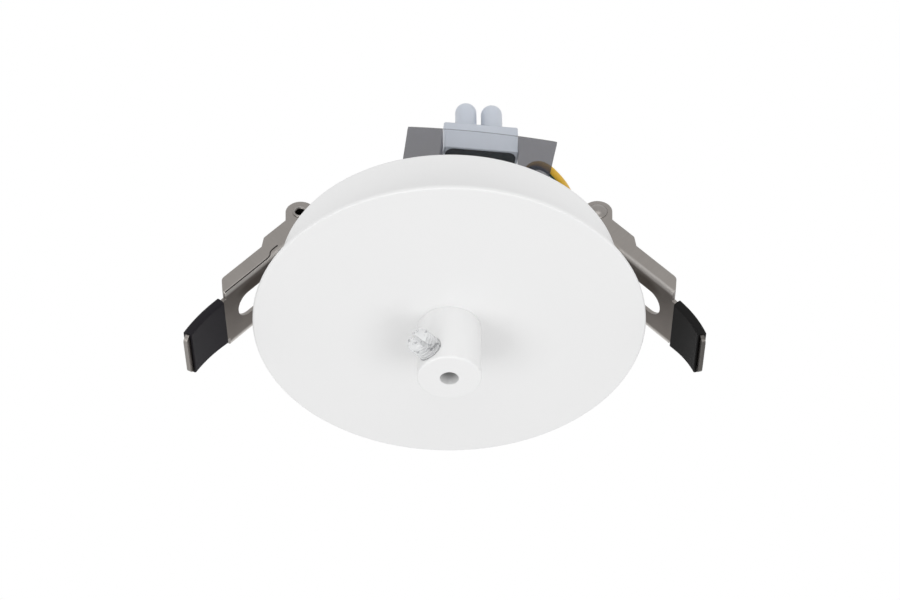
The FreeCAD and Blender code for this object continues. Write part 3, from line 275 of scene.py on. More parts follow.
def moulded_finish(name, color, drift, roughness, edge, cells=3.0, depth=0.004, edge_color=None,
                   edge_gain=1.5, **constants):
    """Paint, plastic or rubber with a fine skin and softened edges."""
    material, tree, shader = new_material(name, **constants)
    skin = place_effect(tree, SKIN, Cells_per_mm=cells, Color=color + (1,), Drift_Color=drift + (1,),
                        Roughness=roughness)
    edges = place_effect(tree, EDGES, Width_mm=edge, Gain=edge_gain)
    link_up(tree, (object_place(tree), skin.inputs["Vector"]),
            (mix_colors(tree, edges.outputs["Mask"], skin.outputs["Color"], (edge_color or color) + (1,)),
             shader.inputs["Base Color"]),
            (skin.outputs["Roughness"], shader.inputs["Roughness"]))
    bump_into(tree, shader, skin.outputs["Height"], depth, edges.outputs["Normal"])
    return material


def open_finish(material):
    """A finish to paint on: its tree, its shader, its colour so far, and coordinates on the object."""
    tree = material.node_tree
    shader = tree.nodes["Principled BSDF"]
    plain = shader.inputs["Base Color"].links[0].from_socket
    return tree, shader, plain, add_node(tree, "ShaderNodeTexCoord")


# Paint. Up inside the cord bore a painted shade darkens it between two heights, in millimetres.

BORE_FADE = (-17.2, -14.2)
BORE_REACH = 2.6
BORE_PAINTED_SHADE = (0.46, 0.46, 0.46, 1)


def powder_coat(name):
    """Matt white powder coat, with a painted shade along its edges."""
    return moulded_finish(name, (0.845, 0.845, 0.842), (0.832, 0.833, 0.832), 0.52, cells=2.2, depth=0.006,
                          edge=0.35, edge_color=(0.80, 0.80, 0.797), Specular_IOR_Level=0.35)


def make_boss_paint():
    """The canopy's paint, with a painted shade darkening it up inside the cord bore."""
    material = powder_coat("white_powder_coat_boss")
    tree, shader, plain, coordinates = open_finish(material)
    flat = vector_node(tree, "MULTIPLY", coordinates.outputs["Object"], (1, 1, 0))
    from_axis = vector_node(tree, "LENGTH", flat.outputs["Vector"])
    height = split_vector(tree, coordinates.outputs["Object"])["Z"]
    bore = math_node(tree, "LESS_THAN", from_axis.outputs["Value"], BORE_REACH * MM)
    mask = math_node(tree, "MULTIPLY", bore, fade(tree, height, BORE_FADE[0] * MM, BORE_FADE[1] * MM))
    # Painted shade, darker up inside the bore.
    link_up(tree, (mix_colors(tree, mask, plain, BORE_PAINTED_SHADE), shader.inputs["Base Color"]))
    return material


WHITE_PAINT = powder_coat("white_powder_coat")
BOSS_PAINT = make_boss_paint()

# Plastics. The block's recess ceilings, where shade is painted, lie between two heights, in millimetres.

RECESS_CEILING = (42.3, 43.2)
FACES_DOWN = -0.5
RECESS_PAINTED_SHADE = (0.035, 0.045, 0.046, 1)
# Both sleeves are one black PVC: their two colours and glosses are painted light and shade.
SLEEVE_SHADED_COPIES = (("left", (0.0095, 0.0085, 0.0112), (0.014, 0.0125, 0.0158), 0.14),
                ("right", (0.0065, 0.0062, 0.0062), (0.0095, 0.009, 0.009), 0.10))
BLACK_SLEEVE = {
    side: moulded_finish("black_pvc_sleeve_" + side, color, drift, 0.58, cells=4.0, depth=0.008, edge=0.3,
                         edge_color=(0.03, 0.03, 0.034), edge_gain=0.8, Specular_IOR_Level=gloss)
    for side, color, drift, gloss in SLEEVE_SHADED_COPIES}
# A painted shadow: the finish of the dark strip in the left arm's fold crease.
SEAM_SHADOW = moulded_finish("fold_seam_shadow", (0.016, 0.013, 0.012), (0.026, 0.022, 0.020), 0.7, edge=0.1,
                             Specular_IOR_Level=0.2)


def make_block_plastic():
    """Bluish white nylon with painted highlights on its edges and painted shade on its recess ceilings."""
    # Lighter edges here are a painted highlight.
    material = moulded_finish("block_nylon", (0.665, 0.71, 0.79), (0.71, 0.755, 0.825), 0.36, cells=2.0,
                              edge=0.35, edge_color=(0.80, 0.83, 0.88), edge_gain=0.9,
                              Transmission_Weight=0.2, IOR=1.5)
    tree, shader, plain, coordinates = open_finish(material)
    height = split_vector(tree, coordinates.outputs["Object"])["Z"]
    facing = split_vector(tree, coordinates.outputs["Normal"])["Z"]
    above = math_node(tree, "GREATER_THAN", height, RECESS_CEILING[0] * MM)
    below = math_node(tree, "LESS_THAN", height, RECESS_CEILING[1] * MM)
    down = math_node(tree, "LESS_THAN", facing, FACES_DOWN)
    mask = math_node(tree, "MULTIPLY", math_node(tree, "MULTIPLY", above, below), down)
    # Painted shade on the recess ceilings.
    link_up(tree, (mix_colors(tree, mask, plain, RECESS_PAINTED_SHADE), shader.inputs["Base Color"]))
    return material


BLOCK_PLASTIC = make_block_plastic()

# Arm steel, with painted shade under the web, a painted highlight along the folds and a painted dark
# reflection by the slot. Each fade gives where a mark starts and where it is full: by how far a face is
# turned to the underside of the web, by the millimetres across or out from the middle, or by the share of the
# reflection's half size.

UNDER_WEB_FADE = (0.3, 0.8)
FOLD_FADE = (7.9, 9.1)
SLOT_REFLECTION_PLACE = (50.2, -5.6)
SLOT_REFLECTION_HALF = (3.4, 2.0)
SLOT_REFLECTION_FADE = (1.3, 0.5)
TIP_FADE = (60.4, 61.6)
UNDER_WEB_PAINTED_SHADE = (0.64, 0.61, 0.59, 1)
FOLD_PAINTED_HIGHLIGHT = (0.66, 0.63, 0.60, 1)
SLOT_PAINTED_REFLECTION = (0.62, 0.575, 0.545, 1)
TIP_SHADES = (("left", -1, 1.0), ("right", 1, 0.4))


def make_arm_steel(side, sign, tip):
    """Rolled clip steel, with painted shade under its web, highlight on its folds and dark reflection by its
    slot.
    """
    material = metal_finish("clip_steel_" + side, (0.35, 0.327, 0.308), (0.215, 0.200, 0.187), 0.36,
                            (0.05, 1.0, 1.0), lean=sign * ARM_LEAN, streaks=5.0, worn=(0.55, 0.53, 0.505))
    tree, shader, plain, coordinates = open_finish(material)
    lean = math.radians(ARM_LEAN)
    under_web = (-sign * math.sin(lean), 0, -math.cos(lean))
    facing = vector_node(tree, "DOT_PRODUCT", coordinates.outputs["Normal"], under_web)
    place = split_vector(tree, coordinates.outputs["Object"])
    offset = vector_node(tree, "SUBTRACT", coordinates.outputs["Object"],
                         (sign * SLOT_REFLECTION_PLACE[0] * MM, SLOT_REFLECTION_PLACE[1] * MM, 0))
    shares = vector_node(tree, "MULTIPLY", offset.outputs["Vector"],
                         (1 / (SLOT_REFLECTION_HALF[0] * MM), 1 / (SLOT_REFLECTION_HALF[1] * MM), 0))
    distance = vector_node(tree, "LENGTH", shares.outputs["Vector"])
    from_centre_line = math_node(tree, "ABSOLUTE", place["Y"])
    from_middle = math_node(tree, "ABSOLUTE", place["X"])
    web = fade(tree, facing.outputs["Value"], *UNDER_WEB_FADE)
    by_fold = fade(tree, from_centre_line, FOLD_FADE[0] * MM, FOLD_FADE[1] * MM)
    slot_reflection = fade(tree, distance.outputs["Value"], *SLOT_REFLECTION_FADE)
    at_tip = fade(tree, from_middle, TIP_FADE[0] * MM, TIP_FADE[1] * MM)
    # Painted shade under the web, a painted highlight along the folds and a painted dark reflection by the
    # slot.
    color = mix_colors(tree, web, plain, UNDER_WEB_PAINTED_SHADE, "MULTIPLY")
    color = mix_colors(tree, math_node(tree, "MULTIPLY", web, by_fold), color, FOLD_PAINTED_HIGHLIGHT)
    color = mix_colors(tree, math_node(tree, "MULTIPLY", web, slot_reflection), color, SLOT_PAINTED_REFLECTION, "MULTIPLY")
    color = mix_colors(tree, at_tip, color, (tip, tip, tip, 1), "MULTIPLY")
    link_up(tree, (color, shader.inputs["Base Color"]))
    return material


ARM_STEEL = {side: make_arm_steel(side, sign, tip) for side, sign, tip in TIP_SHADES}

# Other metals, each with its light and dark shade, roughness and the way that its grain is stretched.

RIVET_STEEL = metal_finish("rivet_nickel", (0.33, 0.31, 0.295), (0.20, 0.187, 0.175), 0.30, (1, 0.15, 1),
                           streaks=4.0, worn=(0.66, 0.64, 0.61))
SPRING_STEEL = metal_finish("spring_wire", (0.50, 0.48, 0.45), (0.32, 0.30, 0.28), 0.28, (1, 1, 1))
ZINC_STRAP = metal_finish("zinc_strap", (0.47, 0.475, 0.47), (0.30, 0.305, 0.305), 0.36, (0.06, 1, 1),
                          worn=(0.66, 0.66, 0.65))
ZINC_TURNED = metal_finish("zinc_turned", (0.54, 0.535, 0.515), (0.35, 0.345, 0.335), 0.27, (1, 1, 0.12),
                           streaks=4.0, worn=(0.74, 0.73, 0.71))
BRASS = metal_finish("contact_brass", (0.78, 0.58, 0.27), (0.62, 0.44, 0.18), 0.25, (0.1, 1, 1))
TINNED_RING = metal_finish("tinned_ring", (0.74, 0.71, 0.67), (0.56, 0.53, 0.50), 0.30, (1, 0.2, 1),
                           worn=(0.84, 0.82, 0.79))
COPPER = metal_finish("bare_copper", (0.80, 0.43, 0.27), (0.62, 0.29, 0.17), 0.26, (1, 0.2, 1))

# Film. Where the block lies against it, a band of it is nearly clear. The band's middle, half width and fade
# are in millimetres.

CLEAR_BAND_X = 8.2
CLEAR_BAND_HALF = 9.75
CLEAR_BAND_FADE = 0.1
SMOKE_OPACITY = 0.60
CLEAR_OPACITY = 0.06


def make_film_finish():
    """Smoky film that lets the white behind it through, clearer where the block lies against it."""
    material, tree, shader = new_material("smoky_film", IOR=1.45, Specular_IOR_Level=0.3)
    skin = place_effect(tree, SKIN, Cells_per_mm=0.5, Color=(0.116, 0.115, 0.150, 1),
                        Drift_Color=(0.104, 0.103, 0.135, 1), Roughness=0.22)
    coordinates = add_node(tree, "ShaderNodeTexCoord")
    across = split_vector(tree, coordinates.outputs["Object"])["X"]
    from_middle = math_node(tree, "ABSOLUTE", math_node(tree, "SUBTRACT", across, CLEAR_BAND_X * MM))
    opacity = fade(tree, from_middle, (CLEAR_BAND_HALF + CLEAR_BAND_FADE) * MM,
                   (CLEAR_BAND_HALF - CLEAR_BAND_FADE) * MM, SMOKE_OPACITY, CLEAR_OPACITY)
    link_up(tree, (object_place(tree), skin.inputs["Vector"]),
            (skin.outputs["Color"], shader.inputs["Base Color"]),
            (skin.outputs["Roughness"], shader.inputs["Roughness"]), (opacity, shader.inputs["Alpha"]))
    bump_into(tree, shader, skin.outputs["Height"], 0.0015)
    return material


SMOKY_FILM = make_film_finish()
FILM_EDGE = moulded_finish("smoky_film_edge", (0.060, 0.055, 0.062), (0.045, 0.041, 0.047), 0.4, edge=0.1,
                           Alpha=0.55, Specular_IOR_Level=0.3)

# Clear plastic. Painted dark flecks, standing in for light it bends, come where the skin's height is in this
# range.

REFRACTION_DARK_HEIGHTS = (0.55, 0.66)
REFRACTION_PAINTED_SHADE = (0.44, 0.45, 0.46, 1)
BENT_LIGHT_SHADE = (0.34, 0.345, 0.35, 1)


def make_clear_plastic():
    """Clear moulded plastic, milky over white, with painted dark flecks and lines standing in for light it
    bends.
    """
    material, tree, shader = new_material("clear_grip_plastic", IOR=1.49, Alpha=0.5)
    skin = place_effect(tree, SKIN, Cells_per_mm=0.75, Color=(0.97, 0.975, 0.98, 1),
                        Drift_Color=(0.90, 0.91, 0.92, 1), Roughness=0.06)
    edges = place_effect(tree, EDGES, Width_mm=0.16, Gain=1.8)
    refraction_dark = fade(tree, skin.outputs["Height"], *REFRACTION_DARK_HEIGHTS)
    # Painted dark flecks that stand in for light the plastic bends.
    with_refraction_dark = mix_colors(tree, refraction_dark, skin.outputs["Color"], REFRACTION_PAINTED_SHADE)
    link_up(tree, (object_place(tree), skin.inputs["Vector"]),
            (mix_colors(tree, edges.outputs["Mask"], with_refraction_dark, BENT_LIGHT_SHADE), shader.inputs["Base Color"]),
            (skin.outputs["Roughness"], shader.inputs["Roughness"]))
    bump_into(tree, shader, skin.outputs["Height"], 0.01, edges.outputs["Normal"])
    return material


CLEAR_PLASTIC = make_clear_plastic()

# Wire cover. Green turns to yellow over this range of the mesh's yellow_side value, which goes from -1 to 1.

YELLOW_FADE = (-0.12, 0.06)
COVER_GREEN = (0.012, 0.085, 0.035, 1)


def make_wire_cover():
    """Green cover with a yellow side along it."""
    material, tree, shader = new_material("earth_wire_cover", IOR=1.5, Specular_IOR_Level=0.4)
    turned = add_node(tree, "ShaderNodeAttribute", attribute_name="yellow_side")
    yellow = place_effect(tree, SKIN, Cells_per_mm=2.0, Color=(0.73, 0.445, 0.028, 1),
                          Drift_Color=(0.66, 0.38, 0.019, 1), Roughness=0.38)
    color = mix_colors(tree, fade(tree, turned.outputs["Fac"], *YELLOW_FADE), COVER_GREEN,
                       yellow.outputs["Color"])
    link_up(tree, (object_place(tree), yellow.inputs["Vector"]), (color, shader.inputs["Base Color"]),
            (yellow.outputs["Roughness"], shader.inputs["Roughness"]))
    bump_into(tree, shader, yellow.outputs["Height"], 0.006)
    return material


WIRE_COVER = make_wire_cover()

# Each CAD node's finish.

CAD_FINISHES = {
    "canopy": WHITE_PAINT, "cord_grip": BOSS_PAINT,
    "insulating_film": SMOKY_FILM, "terminal_block": BLOCK_PLASTIC,
    "mounting_bracket": ZINC_STRAP, "terminal_bridge": ZINC_STRAP,
    "lock_washer": ZINC_TURNED, "lock_nut": ZINC_TURNED,
    "block_screw": ZINC_TURNED, "block_nut": ZINC_TURNED,
    "ring_terminal": TINNED_RING, "earth_wire_ends": COPPER,
    "earth_wire": WIRE_COVER, "grip_screw": CLEAR_PLASTIC,
}
for side in ("left", "right"):
    CAD_FINISHES["clip_arm_" + side] = ARM_STEEL[side]
    CAD_FINISHES["clip_sleeve_" + side] = BLACK_SLEEVE[side]
    CAD_FINISHES["clip_rivet_" + side] = RIVET_STEEL
    CAD_FINISHES["clip_spring_" + side] = SPRING_STEEL
    for fastener in ("bridge_stud_", "stud_washer_", "stud_nut_"):
        CAD_FINISHES[fastener + side] = ZINC_TURNED
for pole in ("front", "middle", "rear"):
    CAD_FINISHES["contact_" + pole] = BRASS
    for side in ("left", "right"):
        CAD_FINISHES["clamp_screw_%s_%s" % (pole, side)] = ZINC_TURNED
for node, finish in CAD_FINISHES.items():
    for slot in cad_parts[node].material_slots:
        slot.material = finish


# Mesh helpers.


def add_piece(name, vertices, faces, finish, body, smooth=True):
    """A closed mesh in the object's frame, riding on a body of the model."""
    mesh = bpy.data.meshes.new(name)
    mesh.from_pydata([tuple(v) for v in vertices], [], faces)
    mesh.materials.append(finish)
    cleaner = bmesh.new()
    cleaner.from_mesh(mesh)
    bmesh.ops.recalc_face_normals(cleaner, faces=cleaner.faces)
    cleaner.to_mesh(mesh)
    cleaner.free()
    if smooth:
        mesh.shade_smooth()
    piece = bpy.data.objects.new(name, mesh)
    bpy.context.scene.collection.objects.link(piece)
    if body:
        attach(piece, body)
    return piece


def ring_faces(rings, sides):
    """Faces of a closed tube whose vertices are rings of a number of sides, one ring after another."""
    faces = []
    for ring in range(rings - 1):
        for side in range(sides):
            a = ring * sides + side
            b = ring * sides + (side + 1) % sides
            faces.append((a, b, b + sides, a + sides))
    return faces + [tuple(range(sides)), tuple(range((rings - 1) * sides, rings * sides))]


def tube_points(path, radius, sides):
    """Rings of vertices round a path of points, carried along without twist; returns vertices and faces."""
    vertices = []
    tangent = (path[1] - path[0]).normalized()
    across = tangent.orthogonal().normalized()
    for index, point in enumerate(path):
        ahead = path[min(index + 1, len(path) - 1)] - path[max(index - 1, 0)]
        new_tangent = ahead.normalized()
        across = tangent.rotation_difference(new_tangent) @ across
        across = (across - new_tangent * across.dot(new_tangent)).normalized()
        tangent = new_tangent
        up = tangent.cross(across)
        for side in range(sides):
            angle = 2 * math.pi * side / sides
            vertices.append(point + (across * math.cos(angle) + up * math.sin(angle)) * radius)
    return vertices, ring_faces(len(path), sides)


# Torsion springs. Each is wound about its arm's pivot, with one foot on the bracket's leg and one on the arm.

COIL_RADIUS = 2.3 * MM
SPRING_WIRE_RADIUS = 0.45 * MM
SPRING_PITCH = 1.1 * MM
SPRING_TURNS = 10 + 69.3 / 360
SPRING_FOOT = 5.2 * MM
SPRING_REACH = 16.3 * MM
STEPS_A_TURN = 28
SPRING_SIDES = 12
FOOT_STEPS = (1.0, 0.75, 0.5, 0.25)
REACH_STEPS = (0.1, 0.25, 0.5, 0.75, 1.0)


def spring_path():
    """Points of one spring in its own frame: coil along +Z, first foot along -Y at the start."""
    rise = SPRING_PITCH / (2 * math.pi * COIL_RADIUS)
    start = Vector((COIL_RADIUS, 0, 0))
    points = [start - Vector((0, 1, rise)) * SPRING_FOOT * share for share in FOOT_STEPS]
    steps = int(SPRING_TURNS * STEPS_A_TURN)
    for step in range(steps + 1):
        turns = SPRING_TURNS * step / steps
        angle = 2 * math.pi * turns
        points.append(Vector((COIL_RADIUS * math.cos(angle), COIL_RADIUS * math.sin(angle),
                              SPRING_PITCH * turns)))
    leave = points[-1]
    along = Vector((-math.sin(angle), math.cos(angle), rise))
    points += [leave + along * SPRING_REACH * share for share in REACH_STEPS]
    return points


def make_spring(side, sign):
    """The spring of one clip, wound about its arm's pivot."""
    height = SPRING_PITCH * SPRING_TURNS
    out, up = PIVOT_OUT * MM, PIVOT_UP * MM
    half_turn = Matrix.Rotation(0 if sign > 0 else math.pi, 3, "Z")
    path = [half_turn @ Vector((out + point.y, -height / 2 + point.z, up + point.x))
            for point in spring_path()]
    vertices, faces = tube_points(path, SPRING_WIRE_RADIUS, SPRING_SIDES)
    spring = add_piece("torsion_spring_" + side, vertices, faces, SPRING_STEEL, None)
    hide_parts("clip_spring_" + side)
    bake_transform(spring)


for side, sign in (("left", -1), ("right", 1)):
    make_spring(side, sign)

# Earth wire. Its route is that of the wire in the model, in millimetres, from the block's middle pole to the
# ring terminal. The yellow side looks along YELLOW_FACES at the wire's highest point.

WIRE_ROUTE = [(15.44, -6.23, 45.07), (19.42, -5.77, 45.07), (21.6, -9.7, 47.9), (25.3, -12.2, 45.5),
              (29.4, -11.4, 40.3), (31.1, -12.0, 35.2), (32.6, -13.0, 28.0), (32.4, -18.6, 19.0),
              (31.4, -24.0, 11.6), (30.3, -19.9, 4.6), (30.3, -11.3, 4.6)]
WIRE_COVER_RADIUS = 1.2 * MM
WIRE_SIDES = 24
YELLOW_FACES = Vector((0.05, -0.75, 0.66))
SPLINE_STEPS = 14


def read_spline(name, route):
    """Points of the smooth line whose control points are the route."""
    data = bpy.data.curves.new(name, "CURVE")
    data.dimensions = "3D"
    data.resolution_u = SPLINE_STEPS
    spline = data.splines.new("NURBS")
    spline.points.add(len(route) - 1)
    for point, place in zip(spline.points, route):
        point.co = (*[value * MM for value in place], 1.0)
    spline.order_u = 3
    spline.use_endpoint_u = True
    holder = bpy.data.objects.new(name, data)
    mesh = bpy.data.meshes.new_from_object(holder)
    points = [vertex.co.copy() for vertex in mesh.vertices]
    bpy.data.objects.remove(holder)
    return points


def mark_side(piece, path, sides, faces_to):
    """Store on each ring vertex how far it is turned to the side that faces one way at the highest point."""
    top = max(range(1, len(path) - 1), key=lambda index: path[index].z)
    top_ring = [vertex.co for vertex in piece.data.vertices[top * sides:(top + 1) * sides]]
    middle = max(range(sides), key=lambda side: (top_ring[side] - path[top]).dot(faces_to))
    values = [math.cos(2 * math.pi * (side - middle) / sides) for _ in path for side in range(sides)]
    attribute = piece.data.attributes.new("yellow_side", "FLOAT", "POINT")
    attribute.data.foreach_set("value", values)


wire_line = read_spline("earth_wire_line", WIRE_ROUTE)
cover_vertices, cover_faces = tube_points(wire_line, WIRE_COVER_RADIUS, WIRE_SIDES)
earth_wire_cover = add_piece("earth_wire_cover", cover_vertices, cover_faces, WIRE_COVER, "base")
mark_side(earth_wire_cover, wire_line, WIRE_SIDES, YELLOW_FACES)
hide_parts("earth_wire")

# Film. It lies flat on the bridge and bows a little where it stands out in front of the block. Its place,
# sizes and bow are in millimetres, and its turn in degrees.

FILM_PLACE = (6.0, -5.5, 41.6)
FILM_TURN = 7.5
FILM_HALF = (19.5, 21.5)
FILM_THICK = 0.3
FILM_CORNER_CUT = 0.06
FILM_GRID = (40, 44)
BOW_FROM = 15.9
BOW_HEIGHT = 0.95
BOW_ROUND = 0.9
BOW_TILT = 0.22


def film_rise(x, y):
    """How far the film stands above its flat level, in its own millimetres."""
    share = min(max((-BOW_FROM - y) / (FILM_HALF[1] - BOW_FROM), 0.0), 1.0)
    out = x / FILM_HALF[0]
    return share * share * (3 - 2 * share) * (BOW_HEIGHT - BOW_ROUND * out * out - BOW_TILT * out)


def make_film():
    """The bowed sheet, with cut corners and a sharp edge all round."""
    columns, rows = FILM_GRID
    turned = Matrix.Rotation(math.radians(FILM_TURN), 3, "Z")
    vertices, faces = [], []
    for level in (0.0, FILM_THICK):
        for row in range(rows + 1):
            for column in range(columns + 1):
                x = FILM_HALF[0] * (2 * column / columns - 1)
                y = FILM_HALF[1] * (2 * row / rows - 1)
                if row in (0, rows) and column in (0, columns):
                    x -= math.copysign(FILM_CORNER_CUT, x)
                    y -= math.copysign(FILM_CORNER_CUT, y)
                flat = turned @ Vector((x, y, 0))
                vertices.append(Vector((FILM_PLACE[0] + flat.x, FILM_PLACE[1] + flat.y,
                                        FILM_PLACE[2] + level + film_rise(x, y))) * MM)
    width, layer = columns + 1, (columns + 1) * (rows + 1)
    for row in range(rows):
        for column in range(columns):
            a = row * width + column
            quad = (a, a + 1, a + width + 1, a + width)
            faces += [quad, tuple(v + layer for v in reversed(quad))]
    rim = (list(range(columns)) + [row * width + columns for row in range(rows)]
           + [rows * width + column for column in range(columns, 0, -1)]
           + [row * width for row in range(rows, 0, -1)])
    for first, second in zip(rim, rim[1:] + rim[:1]):
        faces.append((first, second, second + layer, first + layer))
    sheet = add_piece("smoky_film_sheet", vertices, faces, SMOKY_FILM, "base", smooth=False)
    sheet.data.materials.append(FILM_EDGE)
    for face in sheet.data.polygons[-len(rim):]:
        face.material_index = 1
    return sheet


film_sheet = make_film()
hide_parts("insulating_film")

# Grip screw: a clear thread with a slot across its outer end, on its own axis through the boss. Its sizes
# are in millimetres.

GRIP_ANGLE = math.radians(39)
GRIP_AXIS = Vector((-math.sin(GRIP_ANGLE), -math.cos(GRIP_ANGLE), 0))
GRIP_LEVEL = Vector((0, 0, -13.7))
GRIP_FROM, GRIP_TO = 2.65, 13.05
GRIP_CREST, GRIP_ROOT, GRIP_PITCH = 3.25, 2.8, 0.9
GRIP_CHAMFER = 0.5
CREST_WIDTH, FLANK_SLOPE = 2.0, 5.5
GRIP_SIDES, GRIP_STEPS = 56, 118
SLOT_WIDTH, SLOT_DEPTH = 1.0, 1.6
SLOT_LEAN = math.radians(52)
CUTTER_SPARE = (1.0, 0.5)


def grip_radius(along, turn):
    """The thread's radius at a distance along the axis and a turn from 0 to 1."""
    phase = (along / GRIP_PITCH - turn) % 1.0
    rise = min(1.0, max(0.0, CREST_WIDTH - abs(phase - 0.5) * FLANK_SLOPE))
    radius = GRIP_ROOT + (GRIP_CREST - GRIP_ROOT) * rise
    from_end = min(along - GRIP_FROM, GRIP_TO - along)
    return min(radius, GRIP_CREST - GRIP_CHAMFER + max(0.0, from_end))


def make_grip_screw():
    """The threaded rod, with the slot cut from its outer end."""
    across = GRIP_AXIS.cross(Vector((0, 0, 1))).normalized()
    up = across.cross(GRIP_AXIS).normalized()
    vertices = []
    for step in range(GRIP_STEPS + 1):
        along = GRIP_FROM + (GRIP_TO - GRIP_FROM) * step / GRIP_STEPS
        for side in range(GRIP_SIDES):
            angle = 2 * math.pi * side / GRIP_SIDES
            out = (across * math.cos(angle) + up * math.sin(angle)) * grip_radius(along, side / GRIP_SIDES)
            vertices.append((GRIP_AXIS * along + out + GRIP_LEVEL) * MM)
    rod = add_piece("clear_grip_screw", vertices, ring_faces(GRIP_STEPS + 1, GRIP_SIDES), CLEAR_PLASTIC,
                    "grip_screw")
    long_way = (across * math.cos(SLOT_LEAN) + up * math.sin(SLOT_LEAN)) * (GRIP_CREST + CUTTER_SPARE[0])
    narrow_way = (up * math.cos(SLOT_LEAN) - across * math.sin(SLOT_LEAN)) * SLOT_WIDTH / 2
    deep_way = GRIP_AXIS * (SLOT_DEPTH + CUTTER_SPARE[1])
    middle = GRIP_AXIS * (GRIP_TO + CUTTER_SPARE[1]) + GRIP_LEVEL
    corners = [(middle + long_way * i + narrow_way * j + deep_way * k) * MM
               for i in (-1, 1) for j in (-1, 1) for k in (-1, 1)]
    block = [(0, 1, 3, 2), (4, 6, 7, 5), (0, 4, 5, 1), (2, 3, 7, 6), (0, 2, 6, 4), (1, 5, 7, 3)]
    cutter = add_piece("grip_slot_cutter", corners, block, CLEAR_PLASTIC, None, smooth=False)
    cut = rod.modifiers.new("slot", "BOOLEAN")
    cut.operation = "DIFFERENCE"
    cut.object = cutter
    bpy.context.view_layer.update()
    slotted = bpy.data.meshes.new_from_object(rod.evaluated_get(bpy.context.evaluated_depsgraph_get()))
    rod.modifiers.clear()
    rod.data = slotted
    bpy.data.objects.remove(cutter)
    return rod


grip_screw = make_grip_screw()
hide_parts("grip_screw")

# Painted shadow in the crease of the left arm's front fold: a thin dark strip that stands in for the shade
# there and steps up at the relief near the pivot. FOLD_EDGE is the fold's place across the arm and out from
# it. Each point of the route gives a place along the arm and how far the strip leaves the fold, across and
# out, in millimetres.

FOLD_EDGE = (-9.70, -4.80)
CREASE_SHADOW_RADIUS = 0.16 * MM
CREASE_SHADOW_SIDES = 8
CREASE_SHADOW_ROUTE = [(33.0, 0.0, 0.0), (28.0, 0.0, 0.0), (22.0, 0.0, 0.0), (17.4, 0.0, 0.0), (16.3, -0.1, 0.15),
              (15.6, -0.28, 0.8), (14.4, -0.31, 1.05), (12.6, -0.31, 1.0)]


def on_left_arm(along, across, out):
    """A place on the left arm at rest, in millimetres along it, across it, and out and up from it."""
    lean = math.radians(ARM_LEAN)
    x = PIVOT_OUT + along * math.cos(lean) + out * math.sin(lean)
    z = PIVOT_UP - along * math.sin(lean) + out * math.cos(lean)
    return Vector((-x, across, z))


crease_shadow_line = read_spline("left_crease_shadow_line", [on_left_arm(along, FOLD_EDGE[0] + across, FOLD_EDGE[1] + out)
                                           for along, across, out in CREASE_SHADOW_ROUTE])
crease_shadow_vertices, crease_shadow_faces = tube_points(crease_shadow_line, CREASE_SHADOW_RADIUS, CREASE_SHADOW_SIDES)
crease_shadow_strip = add_piece("fold_crease_shadow_left", crease_shadow_vertices, crease_shadow_faces, SEAM_SHADOW, "arm_left")

# Camera, light and backdrop. The shift and the focal length are in pixels of the 900 x 600 picture.

IMAGE_WIDTH = 900
FOCAL_PIXELS = 2243.0
SENSOR_MM = 36.0
CAMERA_PLACE = Vector((0.0, -0.4260, -0.3815))
CAMERA_AIM = Vector((0.0, 0.0, -0.0013))
FACE_CENTRE_SHIFT = (0.8, 28.2)
CAMERA_ROLL = -0.13

scene = bpy.context.scene
camera_data = bpy.data.cameras.new("camera")
camera_data.sensor_width = SENSOR_MM
camera_data.lens = FOCAL_PIXELS / IMAGE_WIDTH * SENSOR_MM
camera_data.shift_x = FACE_CENTRE_SHIFT[0] / IMAGE_WIDTH
camera_data.shift_y = FACE_CENTRE_SHIFT[1] / IMAGE_WIDTH
camera_data.clip_start = 0.01
camera = bpy.data.objects.new("camera", camera_data)
scene.collection.objects.link(camera)
look = (CAMERA_AIM - CAMERA_PLACE).to_track_quat("-Z", "Y").to_matrix().to_4x4()
roll = Matrix.Rotation(math.radians(CAMERA_ROLL), 4, "Z")
camera.matrix_world = Matrix.Translation(CAMERA_PLACE) @ look @ roll
scene.camera = camera

FLOOR_LEVEL = -0.9
FLOOR_HALF = 3.0
AMBIENT = (0.80, 0.80, 0.803, 1)
WHITE = (1.0, 1.0, 1.0, 1)

# Name, place, power in watts, width and depth of each soft light, in metres.

SOFTBOXES = (("softbox_left", (-0.44, -0.26, -0.67), 1.52, 0.4, 0.4),
             ("softbox_right", (0.44, -0.26, -0.67), 1.52, 0.4, 0.4),
             ("softbox_front", (0.0, -1.05, -0.10), 1.45, 0.9, 0.4))


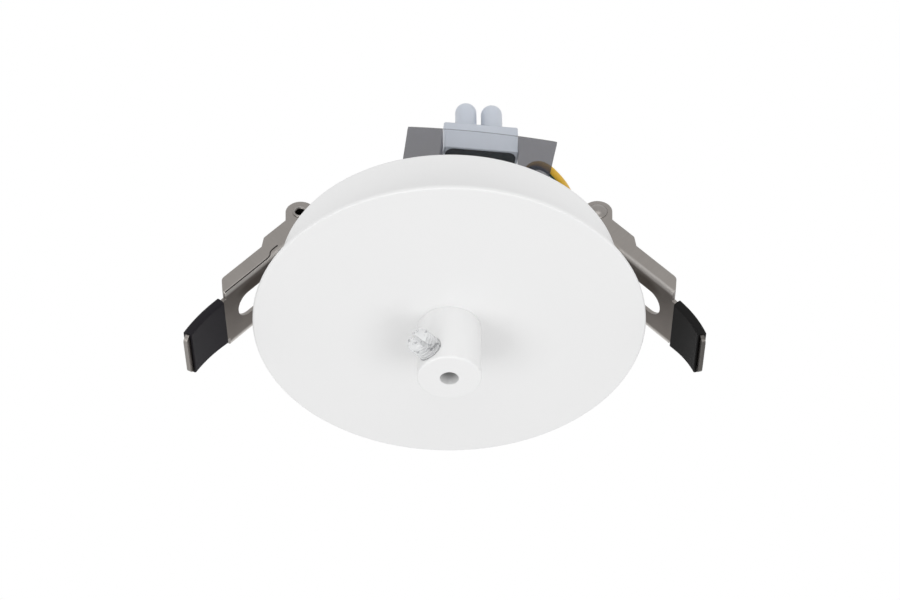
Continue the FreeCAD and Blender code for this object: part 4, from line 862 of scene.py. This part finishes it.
def seen_directly(tree):
    """1 where a camera, mirror or see-through ray looks, 0 for light on surfaces."""
    path = add_node(tree, "ShaderNodeLightPath")
    camera_or_gloss = math_node(tree, "MAXIMUM", path.outputs["Is Camera Ray"], path.outputs["Is Glossy Ray"])
    return math_node(tree, "MAXIMUM", camera_or_gloss, path.outputs["Is Transmission Ray"])


def make_floor():
    """A pale floor far below the part, white where it is seen."""
    material, tree, shader = new_material("pale_floor", Roughness=0.9)
    skin = place_effect(tree, SKIN, Cells_per_mm=0.05, Drift_per_mm=0.002, Color=(0.80, 0.80, 0.80, 1),
                        Drift_Color=(0.77, 0.77, 0.77, 1), Roughness=0.9)
    glow = add_node(tree, "ShaderNodeEmission")
    mix = add_node(tree, "ShaderNodeMixShader")
    link_up(tree, (object_place(tree), skin.inputs["Vector"]),
            (skin.outputs["Color"], shader.inputs["Base Color"]),
            (seen_directly(tree), mix.inputs[0]), (shader.outputs[0], mix.inputs[1]),
            (glow.outputs[0], mix.inputs[2]),
            (mix.outputs[0], tree.nodes["Material Output"].inputs["Surface"]))
    corners = [(x * FLOOR_HALF, y * FLOOR_HALF, FLOOR_LEVEL) for x, y in ((-1, -1), (1, -1), (1, 1), (-1, 1))]
    floor = add_piece("pale_floor", corners, [(0, 1, 2, 3)], material, None, smooth=False)


make_floor()

world = bpy.data.worlds.new("studio")
world.use_nodes = True
scene.world = world
sky = world.node_tree
background = sky.nodes["Background"]
link_up(sky, (mix_colors(sky, seen_directly(sky), AMBIENT, WHITE), background.inputs["Color"]))
background.inputs["Strength"].default_value = 1.0


def add_softbox(name, place, power, width, depth):
    """A large soft light aimed at the part."""
    data = bpy.data.lights.new(name, "AREA")
    data.shape = "RECTANGLE"
    data.size = width
    data.size_y = depth
    data.energy = power
    light = bpy.data.objects.new(name, data)
    light.matrix_world = (Matrix.Translation(place)
                          @ (-Vector(place)).to_track_quat("-Z", "Y").to_matrix().to_4x4())
    scene.collection.objects.link(light)


for softbox in SOFTBOXES:
    add_softbox(*softbox)

scene.view_settings.view_transform = "Standard"
